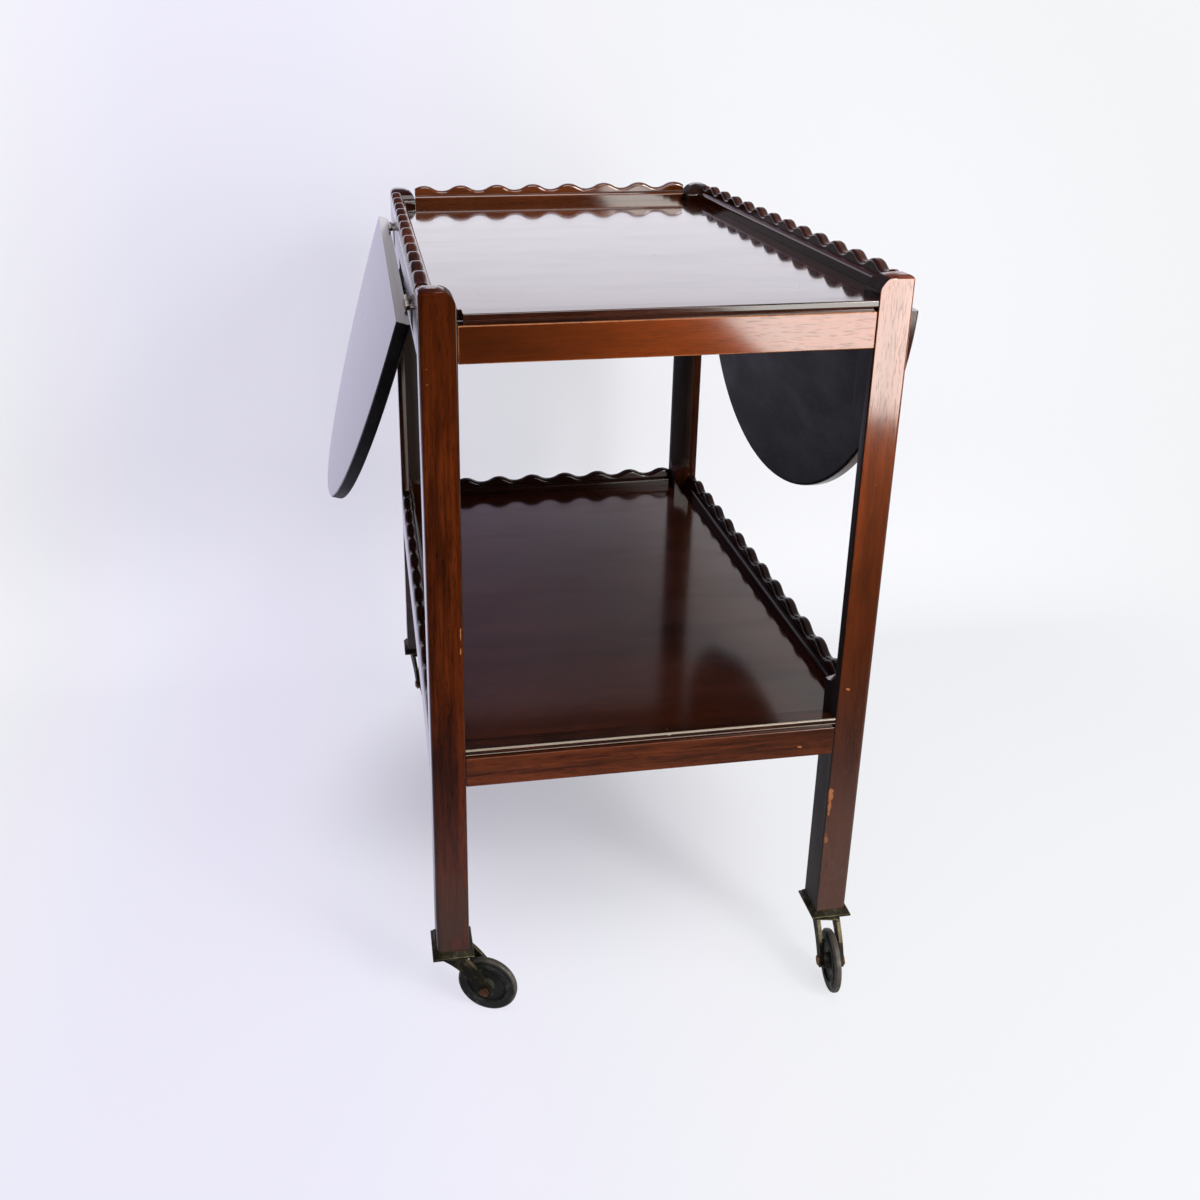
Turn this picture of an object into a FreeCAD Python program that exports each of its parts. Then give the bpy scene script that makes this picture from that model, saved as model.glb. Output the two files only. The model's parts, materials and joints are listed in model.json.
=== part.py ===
import FreeCAD, Part
import math
import os

import Sketcher

from FreeCAD import Placement, Rotation, Vector

# Two-tier tea trolley with two half-oval drop leaves, on four swivel casters.
# X runs left to right, Y from the open front to the back, Z up from the floor.
# Lengths are in millimetres, angles in degrees.
SIZES = {
    # frame
    "frame_width": 437.0,
    "frame_depth": 645.0,
    "board": 18.0,
    # legs
    "leg_section": 33.0,
    "leg_top": 765.5,
    "leg_corner": 4.5,
    "leg_arris": 1.5,
    "leg_crown": 20.0,
    "leg_crest": 8.0,
    "chamfer_flat": 10.5,
    "chamfer_drop": 60.0,
    "chamfer_tongue": 28.0,
    "chamfer_rise": 28.0,
    "chamfer_foot": 18.0,
    # tiers
    "tray_top": 743.3,
    "tray_apron": 33.7,
    "shelf_top": 317.0,
    "shelf_apron": 31.2,
    "nosing_height": 6.5,
    "nosing_round": 1.5,
    "nosing_cove": 3.5,
    "cove_depth": 4.0,
    "nosing_gap": 5.0,
    # galleries
    "gallery_peak": 24.0,
    "gallery_wave": 7.0,
    "gallery_board": 12.0,
    "gallery_round": 4.0,
    "bead_reach": 5.5,
    "bead_height": 14.0,
    "bead_round": 2.0,
    "ledge_clear": 0.3,
    "side_half_waves": 25,
    "back_half_waves": 15,
    # leaves
    "leaf_half_length": 294.0,
    "leaf_depth": 262.0,
    "left_leaf_forward": 0.0,
    "right_leaf_forward": 9.0,
    "leaf_thickness": 12.5,
    "leaf_round": 3.0,
    "leaf_gap": 2.4,
    "leaf_lift": 0.3,
    "left_leaf_tilt": 17.0,
    "right_leaf_tilt": -2.5,
    # hinges
    "hinge_out": 3.9,
    "hinge_place": 215.0,
    "hinge_length": 48.0,
    "hinge_plate": 1.5,
    "hinge_reach": 24.0,
    "knuckle_radius": 2.1,
    "knuckle_gap": 0.3,
    "pin_radius": 1.1,
    "fit": 0.05,
    "screw_radius": 1.5,
    "screw_head": 2.8,
    "screw_length": 8.0,
    "screw_spread": 15.0,
    # leaf props
    "prop_inset": 4.3,
    "prop_drop": 30.3,
    "prop_length": 75.0,
    "prop_width": 100.0,
    "prop_thickness": 6.0,
    "rod_radius": 1.5,
    "recess_depth": 8.0,
    "recess_head": 6.0,
    "lug_width": 5.6,
    "lug_height": 8.0,
    "side_gap": 0.4,
    "left_prop_angle": 22.9,
    "right_prop_angle": -1.5,
    # casters
    "plate_bottom": 71.5,
    "plate_floor": 3.0,
    "plate_foot": 2.8,
    "plate_height": 7.2,
    "plate_flare": 4.6,
    "plate_step": 1.0,
    "plate_collar": 0.8,
    "king_radius": 3.5,
    "king_head": 6.5,
    "king_head_height": 2.2,
    "swivel_gap": 0.3,
    "bridge_height": 4.5,
    "bridge_back": 12.0,
    "bridge_front": 13.0,
    "arm_thickness": 4.0,
    "arm_clearance": 4.3,
    "arm_bend": 0.62,
    "arm_bend_rise": 0.55,
    "arm_hollow_rise": 0.60,
    "boss_radius": 7.0,
    "axle_radius": 3.0,
    "axle_head": 4.8,
    "axle_head_height": 1.8,
    "caster_trail": 38.0,
    "wheel_radius": 31.5,
    "wheel_width": 8.5,
    "tyre_round": 2.4,
    "rim_radius": 21.0,
    "rim_step": 0.8,
    "ring_radius": 25.0,
    "hub_radius": 8.0,
    "web": 3.5,
}

# Where each leg stands, the turn that points its inner corner at the middle, and its caster's heading.
CORNERS = {
    "front_left": (-1, -1, 0, -23),
    "front_right": (1, -1, 90, -97),
    "back_right": (1, 1, 180, -70),
    "back_left": (-1, 1, 270, -80),
}

# Half turn that makes a left-hand piece from the right-hand one.
SIDES = {"right": 0, "left": 180}

OVERSHOOT = 5.0

doc = FreeCAD.newDocument("tea_trolley")
sheet = doc.addObject("Spreadsheet::Sheet", "Sizes")
for row, (alias, value) in enumerate(SIZES.items(), start=1):
    sheet.set("A%d" % row, alias)
    sheet.set("B%d" % row, str(value))
    sheet.setAlias("B%d" % row, alias)
doc.recompute()

nodes = []


def size(alias):
    return float(sheet.get(alias))


def terms(expression):
    """Expression over the sheet's cells, written with bare cell names."""
    words = expression.split()
    return " ".join("Sizes." + word if word in SIZES else word for word in words)


def value(expression):
    return float(sheet.evalExpression(terms(expression)))


def bind(item, **sizes):
    for name, expression in sizes.items():
        item.setExpression(name, terms(expression))


def node(item, label, placement=None):
    item.Label = label
    if placement is not None:
        item.Placement = placement
    nodes.append(item)
    return item


def shift(x=0.0, y=0.0, z=0.0):
    return Placement(Vector(x, y, z), Rotation())


def turn(axis, angle):
    return Placement(Vector(), Rotation(axis, angle))


ABOUT_Y = Vector(0, 1, 0)
ABOUT_Z = Vector(0, 0, 1)
ALONG_Y = turn(Vector(1, 0, 0), -90)


def block(name, length, width, height, x, y, z):
    """Box with its sizes bound to the sheet and its low corner at x, y, z."""
    item = doc.addObject("Part::Box", name)
    bind(item, Length=length, Width=width, Height=height)
    item.Placement = shift(value(x), value(y), value(z))
    return item


def round_bar(name, radius, length, placement):
    item = doc.addObject("Part::Cylinder", name)
    bind(item, Radius=radius, Height=length)
    item.Placement = placement
    return item


def joined(name, items):
    item = doc.addObject("Part::MultiFuse", name)
    item.Shapes = items
    return item


def group(name, items):
    item = doc.addObject("Part::Compound", name)
    item.Links = items
    return item


def without(name, base, tools):
    item = doc.addObject("Part::Cut", name)
    item.Base = base
    item.Tool = tools[0] if len(tools) == 1 else group(name + "_tools", tools)
    return item


def new_body(name):
    return doc.addObject("PartDesign::Body", name)


def sketch_on(body, role, name, offset=None):
    sketch = body.newObject("Sketcher::SketchObject", name)
    plane = next(item for item in body.Origin.OriginFeatures if item.Role == role)
    sketch.AttachmentSupport = (plane, "")
    sketch.MapMode = "FlatFace"
    if offset is not None:
        sketch.AttachmentOffset = offset
    return sketch


def draw(sketch, start, *steps):
    """Closed outline. A step is the end of a line, or the middle and end of an arc."""
    last = Vector(*start)
    for step in steps + (start,):
        if isinstance(step[0], tuple):
            middle, end = Vector(*step[0]), Vector(*step[1])
            sketch.addGeometry(Part.Arc(last, middle, end), False)
            last = end
            continue
        end = Vector(*step)
        if end.distanceToPoint(last) > 1e-7:
            sketch.addGeometry(Part.LineSegment(last, end), False)
        last = end


def circle(sketch, x, y, radius):
    """Circle with its radius bound to the sheet."""
    index = sketch.addGeometry(Part.Circle(Vector(x, y), ABOUT_Z, value(radius)), False)
    bound = sketch.addConstraint(Sketcher.Constraint("Radius", index, value(radius)))
    sketch.setExpression("Constraints[%d]" % bound, terms(radius))


def feature(body, kind, name, sketch, **settings):
    item = body.newObject("PartDesign::" + kind, name)
    item.Profile = sketch
    lengths = settings.pop("bound", {})
    for key, setting in settings.items():
        setattr(item, key, setting)
    bind(item, **lengths)
    return item


def rounded_square(low, high, radii):
    """Outline of a square from low to high, with a radius per corner from the low one anticlockwise."""
    corners = [(low, low), (high, low), (high, high), (low, high)]
    ways = [(1, 0), (0, 1), (-1, 0), (0, -1)]
    points = []
    for index, ((x, y), radius) in enumerate(zip(corners, radii)):
        back, ahead = ways[index - 1], ways[index]
        inset = radius * (1 - math.sqrt(0.5))
        start = (x - back[0] * radius, y - back[1] * radius)
        middle = (x + (ahead[0] - back[0]) * inset, y + (ahead[1] - back[1]) * inset)
        end = (x + ahead[0] * radius, y + ahead[1] * radius)
        points += [start, (middle, end)]
    return points


def upright_arc(x, z, reach, rise):
    """Middle of an arc that leaves x, z upright and climbs by rise while moving sideways by reach."""
    radius = (reach ** 2 + rise ** 2) / (2 * abs(reach))
    half = math.atan2(abs(reach), abs(rise))
    sideways = math.copysign(radius * (1 - math.cos(half)), reach)
    return (x + sideways, z + math.copysign(radius * math.sin(half), rise))


def make_leg(label, x_side, y_side, angle):
    """Square leg drawn with its inner corner on the local origin and the leg in the negative quarter."""
    section, top = size("leg_section"), size("leg_top")
    bottom = value("plate_bottom + plate_floor")
    arris, corner = size("leg_arris"), size("leg_corner")
    body = new_body(label)
    plan = sketch_on(body, "XY_Plane", label + "_plan", shift(z=bottom))
    draw(plan, *rounded_square(-section, 0, [corner, arris, arris, arris]))
    length = "leg_top - plate_bottom - plate_floor"
    feature(body, "Pad", label + "_shaft", plan, bound={"Length": length})

    crown, crest = size("leg_crown"), size("leg_crest")
    bend = math.sqrt(0.5)
    for role in ("XZ_Plane", "YZ_Plane"):
        crowning = sketch_on(body, role, label + "_crown_" + role[:2])
        for edge, radius, way in ((0, crown, -1), (-section, crest, 1)):
            beyond = edge - way * OVERSHOOT
            middle = (edge + way * radius * (1 - bend), top - radius * (1 - bend))
            draw(
                crowning,
                (edge, top - radius),
                (middle, (edge + way * radius, top)),
                (edge + way * radius, top + OVERSHOOT),
                (beyond, top + OVERSHOOT),
                (beyond, top - radius),
            )
        rounding = label + "_rounding_" + role[:2]
        feature(body, "Pocket", rounding, crowning, Type="ThroughAll", SideType="Symmetric")

    depth = value("( leg_section - chamfer_flat ) / sqrt(2)")
    head = value("tray_top - nosing_height - nosing_cove - tray_apron - chamfer_drop")
    foot = value("shelf_top + chamfer_rise")
    tongue, scoop = size("chamfer_tongue"), size("chamfer_foot")
    diagonal = sketch_on(body, "XZ_Plane", label + "_stops", turn(ABOUT_Y, 45))
    half = (-depth / 2, head - tongue / 2)
    draw(
        diagonal,
        (OVERSHOOT, foot),
        (0, foot),
        (upright_arc(-depth, foot + scoop, depth, -scoop), (-depth, foot + scoop)),
        (-depth, head - tongue),
        (upright_arc(-depth, head - tongue, depth / 2, tongue / 2), half),
        (upright_arc(0, head, -depth / 2, -tongue / 2), (0, head)),
        (OVERSHOOT, head),
    )
    feature(body, "Pocket", label + "_chamfer", diagonal, Type="ThroughAll", SideType="Symmetric")
    inner_x = x_side * value("frame_width / 2 - leg_section")
    inner_y = y_side * value("frame_depth / 2 - leg_section")
    node(body, label, Placement(Vector(inner_x, inner_y, 0), Rotation(ABOUT_Z, angle)))


def make_panel(label, top):
    """Board that fills a tier between the aprons and is notched round the legs."""
    half_x = value("frame_width / 2 - board")
    half_y = value("frame_depth / 2 - board")
    notch = value("leg_section - board")
    thickness = value("nosing_height + nosing_cove")
    body = new_body(label)
    plan = sketch_on(body, "XY_Plane", label + "_plan", shift(z=size(top) - thickness))
    points = []
    for x_way, y_way, along_x in ((-1, -1, 0), (1, -1, 1), (1, 1, 0), (-1, 1, 1)):
        near_x, near_y = x_way * (half_x - notch), y_way * (half_y - notch)
        far_x, far_y = x_way * half_x, y_way * half_y
        stair = [(far_x, near_y), (near_x, near_y), (near_x, far_y)]
        points += stair[::-1] if along_x else stair
    draw(plan, *points)
    feature(body, "Pad", label + "_board", plan, bound={"Length": "nosing_height + nosing_cove"})
    node(body, label)


def make_nosing(label, top, short):
    """Flat front lip of a tier, softened at both edges, with a cove under it. It stops short of the left leg."""
    front = value("- frame_depth / 2")
    back = front + size("board")
    cove = front + size("cove_depth")
    upper = size(top)
    lower = upper - size("nosing_height")
    base = lower - size("nosing_cove")
    soft = size("nosing_round")
    inset = soft * (1 - math.sqrt(0.5))
    body = new_body(label)
    profile = sketch_on(body, "YZ_Plane", label + "_profile")
    draw(
        profile,
        (back, base),
        (back, upper),
        (front + soft, upper),
        ((front + inset, upper - inset), (front, upper - soft)),
        (front, lower + soft),
        ((front + inset, lower + inset), (front + soft, lower)),
        (cove, lower),
        (cove, base),
    )
    length = "frame_width - 2 * leg_section - " + short
    feature(body, "Pad", label + "_strip", profile, SideType="Symmetric", bound={"Length": length})
    node(body, label, shift(x=value(short) / 2))


def make_gallery(label, length, half_waves, first, placement):
    """Low wall with a wavy crest and a ledge inside. Outer face on local Y zero, inner towards +Y."""
    span = value(length)
    peak, wave = size("gallery_peak"), size("gallery_wave")
    level = peak - wave / 2
    count = int(size(half_waves))
    step = span / count
    body = new_body(label)
    outline = sketch_on(body, "XZ_Plane", label + "_outline")
    crest = []
    way = first
    for index in range(count):
        start = span / 2 - index * step
        crest.append(((start - step / 2, level + way * wave / 2), (start - step, level)))
        way = -way
    draw(outline, (-span / 2, 0), (span / 2, 0), (span / 2, level), *crest)
    feature(body, "Pad", label + "_wall", outline, Reversed=True, bound={"Length": "gallery_board"})

    thick, reach = size("gallery_board"), size("bead_reach")
    valley = value("gallery_peak - gallery_wave - gallery_round - ledge_clear")
    rise, soft = min(size("bead_height"), valley), size("bead_round")
    inset = soft * (1 - math.sqrt(0.5))
    face = thick + reach
    bead = sketch_on(body, "YZ_Plane", label + "_bead_profile")
    draw(
        bead,
        (thick / 2, 0),
        (face, 0),
        (face, rise - soft),
        ((face - inset, rise - inset), (face - soft, rise)),
        (thick / 2, rise),
    )
    foot = feature(body, "Pad", label + "_bead", bead, SideType="Symmetric", bound={"Length": length})
    doc.recompute()
    rims = [
        "Edge%d" % index
        for index, edge in enumerate(foot.Shape.Edges, start=1)
        if isinstance(edge.Curve, Part.Circle) and edge.BoundBox.YLength < 1e-6
    ]
    rounding = body.newObject("PartDesign::Fillet", label + "_rim")
    rounding.Base = (foot, rims)
    bind(rounding, Radius="gallery_round")
    node(body, label, placement)


def make_tier(prefix, top, apron, short):
    """Panel, nosing, front and back aprons and galleries of one tier."""
    make_panel(prefix + "_panel", top)
    make_nosing(prefix + "_nosing", top, short)
    wide = "frame_width - 2 * leg_section"
    deep = "frame_depth - 2 * leg_section"
    below = top + " - nosing_height - nosing_cove - " + apron
    tall = "nosing_height + nosing_cove + " + apron
    start = "leg_section - frame_width / 2"
    front = block(prefix + "_front", wide, "board", apron, start, "- frame_depth / 2", below)
    node(front, prefix + "_apron_front")
    back = block(prefix + "_back", wide, "board", tall, start, "frame_depth / 2 - board", below)
    node(back, prefix + "_apron_back")
    half_x, half_y, height = value("frame_width / 2"), value("frame_depth / 2"), size(top)
    places = {
        "left": (deep, "side_half_waves", -1, Vector(-half_x, 0, height), -90),
        "right": (deep, "side_half_waves", -1, Vector(half_x, 0, height), 90),
        "back": (wide, "back_half_waves", 1, Vector(0, half_y, height), 180),
    }
    for side, (length, half_waves, first, base, angle) in places.items():
        label = prefix + "_gallery_" + side
        make_gallery(label, length, half_waves, first, Placement(base, Rotation(ABOUT_Z, angle)))


def side_apron(name, top, apron):
    """Plain side board of a tier, on the right."""
    below = top + " - nosing_height - nosing_cove - " + apron
    tall = "nosing_height + nosing_cove + " + apron
    return block(
        name,
        "board",
        "frame_depth - 2 * leg_section",
        tall,
        "frame_width / 2 - board",
        "leg_section - frame_depth / 2",
        below,
    )


def make_screw(name, slack, placement):
    """Countersunk screw from its head face along local Z. Slack widens it for its hole."""
    head = doc.addObject("Part::Cone", name + "_head")
    bind(head, Radius1="screw_head" + slack, Radius2="screw_radius" + slack)
    bind(head, Height="screw_head - screw_radius")
    shank = round_bar(name + "_shank", "screw_radius" + slack, "screw_length" + slack, Placement())
    screw = joined(name, [head, shank])
    screw.Placement = placement
    return screw


def knuckles(name, centre, segments):
    """Barrel pieces of one hinge round the local Y axis, as spans of its length."""
    return [
        round_bar("%s_%d" % (name, index), "knuckle_radius", high + " - ( " + low + " )",
                  shift(y=centre + value(low)) * ALONG_Y)
        for index, (low, high) in enumerate(segments)
    ]


MOVING = [("- hinge_length / 6 + knuckle_gap / 2", "hinge_length / 6 - knuckle_gap / 2")]
FIXED = [
    ("- hinge_length / 2", "- hinge_length / 6 - knuckle_gap / 2"),
    ("hinge_length / 6 + knuckle_gap / 2", "hinge_length / 2"),
]
AXIS_X = "frame_width / 2 + hinge_out"
AXIS_Z = "tray_top - leaf_thickness - leaf_lift"
PROP_X = "frame_width / 2 - prop_inset"
PROP_Z = "tray_top - prop_drop"


def make_side(side, half_turn):
    """Side apron of the tray with the leaf, its hinges and its prop. Drawn on the right, then turned."""
    turned = turn(ABOUT_Z, half_turn)
    axis = shift(x=value(AXIS_X), z=value(AXIS_Z))
    tilt = size(side + "_leaf_tilt")
    hung = turned * axis * turn(ABOUT_Y, 90 - tilt)
    spread = size("screw_spread")

    frame_plates, leaf_plates, pins = [], [], []
    frame_screws, leaf_screws = [], []
    apron_tools, leaf_tools = [], []
    inward = turn(ABOUT_Y, -90)
    for place, y_way in (("front", -1), ("back", 1)):
        name = "%s_%s" % (side, place)
        centre = y_way * size("hinge_place")
        low = "%s * hinge_place - hinge_length / 2" % ("- 1" if y_way < 0 else "1")
        lying = axis * shift(y=value(low)) * ALONG_Y
        bore = round_bar(name + "_bore", "pin_radius + fit", "hinge_length", lying)
        leaf_bore = round_bar(name + "_leaf_bore", "pin_radius + fit", "hinge_length",
                              shift(y=value(low)) * ALONG_Y)

        plate = block(name + "_frame_plate", "hinge_plate", "hinge_length", "hinge_reach",
                      "frame_width / 2 - hinge_plate", low, AXIS_Z + " - hinge_reach")
        necks = []
        for index, (first, last) in enumerate(FIXED):
            neck = block("%s_neck_%d" % (name, index), "hinge_plate + hinge_out",
                         last + " - ( " + first + " )", "hinge_plate",
                         "frame_width / 2 - hinge_plate", "%g + %s" % (centre, first),
                         AXIS_Z + " - hinge_plate")
            necks.append(neck)
        barrels = knuckles(name + "_fixed", centre, FIXED)
        for barrel in barrels:
            barrel.Placement = axis * barrel.Placement
        holes, mates = [], []
        for index, y_step in enumerate((-spread, spread)):
            spot = shift(value("frame_width / 2"), centre + y_step, value(AXIS_Z + " - hinge_reach / 2"))
            frame_screws.append(make_screw("%s_frame_screw_%d" % (name, index), "", spot * inward))
            holes.append(make_screw("%s_frame_hole_%d" % (name, index), " + fit", spot * inward))
            spot = shift(value("( hinge_reach + leaf_gap ) / 2"), centre + y_step, size("leaf_lift"))
            leaf_screws.append(make_screw("%s_leaf_screw_%d" % (name, index), "", spot))
            mates.append(make_screw("%s_leaf_hole_%d" % (name, index), " + fit", spot))
        solid = joined(name + "_frame_half", [plate] + necks + barrels)
        frame_plates.append(without(name + "_frame_hinge", solid, [bore] + holes))
        apron_tools += [plate] + holes

        leaf_plate = block(name + "_leaf_plate", "hinge_reach - leaf_gap", "hinge_length", "hinge_plate",
                           "leaf_gap", low, "leaf_lift")
        first, last = MOVING[0]
        tongue = block(name + "_tongue", "leaf_gap", last + " - ( " + first + " )", "hinge_plate",
                       "0", "%g + %s" % (centre, first), "leaf_lift")
        barrels = knuckles(name + "_moving", centre, MOVING)
        moving = joined(name + "_leaf_half", [leaf_plate, tongue] + barrels)
        leaf_plates.append(without(name + "_leaf_hinge", moving, [leaf_bore] + mates))
        leaf_tools += [leaf_plate] + mates
        lying = axis * shift(y=value(low)) * ALONG_Y
        pins.append(round_bar(name + "_pin", "pin_radius", "hinge_length", lying))

    recess_width = "prop_width + 2 * side_gap + 2 * lug_width"
    below = "tray_top - nosing_height - nosing_cove - tray_apron"
    recess = block(side + "_recess", "recess_depth + leaf_gap", recess_width,
                   PROP_Z + " + recess_head - ( " + below + " ) + leaf_gap",
                   "frame_width / 2 - recess_depth", "- ( " + recess_width + " ) / 2",
                   below + " - leaf_gap")
    plain = side_apron(side + "_tray_side", "tray_top", "tray_apron")
    apron = without(side + "_housed_side", plain, apron_tools + [recess])
    node(apron, "tray_apron_" + side, turned)
    node(group(side + "_frame_hinges", frame_plates), "hinge_frame_plates_" + side, turned)
    node(group(side + "_hinge_pins", pins), "hinge_pins_" + side, turned)
    node(group(side + "_frame_screws", frame_screws), "hinge_frame_screws_" + side, turned)

    leaf = make_leaf(side + "_oval", size(side + "_leaf_forward") * (1 if half_turn else -1))
    node(without(side + "_housed_leaf", leaf, leaf_tools), "leaf_" + side, hung)
    node(group(side + "_leaf_hinges", leaf_plates), "hinge_leaf_plates_" + side, hung)
    node(group(side + "_leaf_screws", leaf_screws), "hinge_leaf_screws_" + side, hung)
    make_prop(side, turned)


def make_leaf(name, middle):
    """Half-oval board lying flat, its straight edge beside the hinge line on the local Y axis, about middle."""
    gap, lift = size("leaf_gap"), size("leaf_lift")
    half, depth = size("leaf_half_length"), size("leaf_depth")
    body = new_body(name)
    plan = sketch_on(body, "XY_Plane", name + "_plan", shift(z=lift))
    start, end = Vector(gap, middle - half), Vector(gap, middle + half)
    tips = [end, Vector(gap + depth, middle)]
    long_tip, short_tip = tips if half >= depth else tips[::-1]
    oval = Part.Ellipse(long_tip, short_tip, Vector(gap, middle))
    ends = sorted((oval.parameter(start), oval.parameter(end)))
    arc = Part.ArcOfEllipse(oval, *ends)
    if arc.value((arc.FirstParameter + arc.LastParameter) / 2).x < gap:
        arc = Part.ArcOfEllipse(oval, ends[1], ends[0] + 2 * math.pi)
    plan.addGeometry(arc, False)
    plan.addGeometry(Part.LineSegment(end, start), False)
    board = feature(body, "Pad", name + "_board", plan, bound={"Length": "leaf_thickness"})
    doc.recompute()
    rims = [
        "Edge%d" % index
        for index, edge in enumerate(board.Shape.Edges, start=1)
        if edge.BoundBox.ZLength < 1e-6 and edge.BoundBox.XLength > depth / 2
    ]
    rounding = body.newObject("PartDesign::Fillet", name + "_rim")
    rounding.Base = (board, rims)
    bind(rounding, Radius="leaf_round")
    return body


def make_prop(side, turned):
    """Flap that swings out under the leaf, the rod it hangs on and the lugs that hold the rod."""
    angle = size(side + "_prop_angle")
    axis = shift(x=value(PROP_X), z=value(PROP_Z))
    thick = value("prop_thickness / 2")
    length = size("prop_length")
    flap = new_body(side + "_flap")
    profile = sketch_on(flap, "XZ_Plane", side + "_flap_profile")
    foot = [(-thick, -length), (thick, -length)]
    draw(profile, (-thick, 0), *foot, (thick, 0), ((0, thick), (-thick, 0)))
    width = {"Length": "prop_width"}
    feature(flap, "Pad", side + "_flap_board", profile, SideType="Symmetric", bound=width)
    eye = sketch_on(flap, "XZ_Plane", side + "_flap_eye")
    circle(eye, 0, 0, "rod_radius + fit")
    feature(flap, "Pocket", side + "_flap_bore", eye, Type="ThroughAll", SideType="Symmetric")
    node(flap, "prop_flap_" + side, turned * axis * turn(ABOUT_Y, -angle))

    span = "prop_width + 2 * side_gap + 2 * lug_width"
    lying = axis * shift(y=-value(span) / 2) * ALONG_Y
    node(round_bar(side + "_rod", "rod_radius", span, turned * lying), "prop_rod_" + side)
    bore = round_bar(side + "_rod_bore", "rod_radius + fit", span, lying)
    lugs = []
    for place, start in (("front", "- ( " + span + " ) / 2"), ("back", "prop_width / 2 + side_gap")):
        lug = block("%s_lug_%s" % (side, place), "recess_depth - leaf_lift", "lug_width", "lug_height",
                    "frame_width / 2 - recess_depth", start, PROP_Z + " + recess_head - lug_height")
        lugs.append(without("%s_lug_bored_%s" % (side, place), lug, [bore]))
    node(group(side + "_lugs", lugs), "prop_lugs_" + side, turned)


def square(half):
    return [(-half, -half), (half, -half), (half, half), (-half, half)]


def make_caster(corner, x_side, y_side, heading):
    """Cup plate under a leg, with the fork, axle and wheel that swivel below it."""
    stand_x = x_side * value("( frame_width - leg_section ) / 2")
    stand_y = y_side * value("( frame_depth - leg_section ) / 2")
    stand = shift(stand_x, stand_y)
    leg_half = value("leg_section / 2")
    bottom, foot = size("plate_bottom"), size("plate_foot")
    label = "caster_plate_" + corner
    plate = new_body(label)
    low = sketch_on(plate, "XY_Plane", label + "_foot_plan", shift(z=bottom))
    draw(low, *square(leg_half + size("plate_flare")))
    feature(plate, "Pad", label + "_foot", low, bound={"Length": "plate_foot"})
    lean = value("plate_flare - plate_step - plate_collar")
    taper = math.degrees(math.atan2(lean, value("plate_height - plate_foot")))
    high = sketch_on(plate, "XY_Plane", label + "_cup_plan", shift(z=bottom + foot))
    draw(high, *square(leg_half + value("plate_flare - plate_step")))
    rise = {"Length": "plate_height - plate_foot"}
    feature(plate, "Pad", label + "_cup", high, TaperAngle=-taper, bound=rise)
    socket = sketch_on(plate, "XY_Plane", label + "_socket_plan", shift(z=bottom + size("plate_floor")))
    draw(socket, *square(leg_half))
    feature(plate, "Pocket", label + "_socket", socket, Reversed=True, bound={"Length": "plate_height"})
    hole = sketch_on(plate, "XY_Plane", label + "_hole_plan")
    circle(hole, 0, 0, "king_radius + fit")
    feature(plate, "Pocket", label + "_hole", hole, Reversed=True, Type="ThroughAll")
    node(plate, label, stand)

    ahead = stand * turn(ABOUT_Z, heading)
    make_fork("caster_fork_" + corner, ahead)
    gap_width = "wheel_width + 2 * arm_clearance + 2 * arm_thickness"
    hub = ahead * shift(x=size("caster_trail"), z=size("wheel_radius"))
    outer = value(gap_width) / 2
    shank = round_bar(corner + "_axle_shank", "axle_radius", gap_width, shift(y=-outer) * ALONG_Y)
    heads = [
        round_bar("%s_axle_head_%d" % (corner, index), "axle_head", "axle_head_height",
                  shift(y=start) * ALONG_Y)
        for index, start in enumerate((outer, -outer - size("axle_head_height")))
    ]
    node(joined(corner + "_axle", [shank] + heads), "caster_axle_" + corner, hub)
    make_wheel("caster_wheel_" + corner, hub)

    fork_top = "plate_bottom - swivel_gap"
    pin_low = value(fork_top + " - bridge_height - swivel_gap")
    stem = round_bar(corner + "_king_stem", "king_radius",
                     "plate_floor + 2 * swivel_gap + bridge_height", stand * shift(z=pin_low))
    cap = round_bar(corner + "_king_cap", "king_head", "king_head_height",
                    stand * shift(z=pin_low - size("king_head_height")))
    return joined(corner + "_king_pin", [stem, cap])


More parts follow.
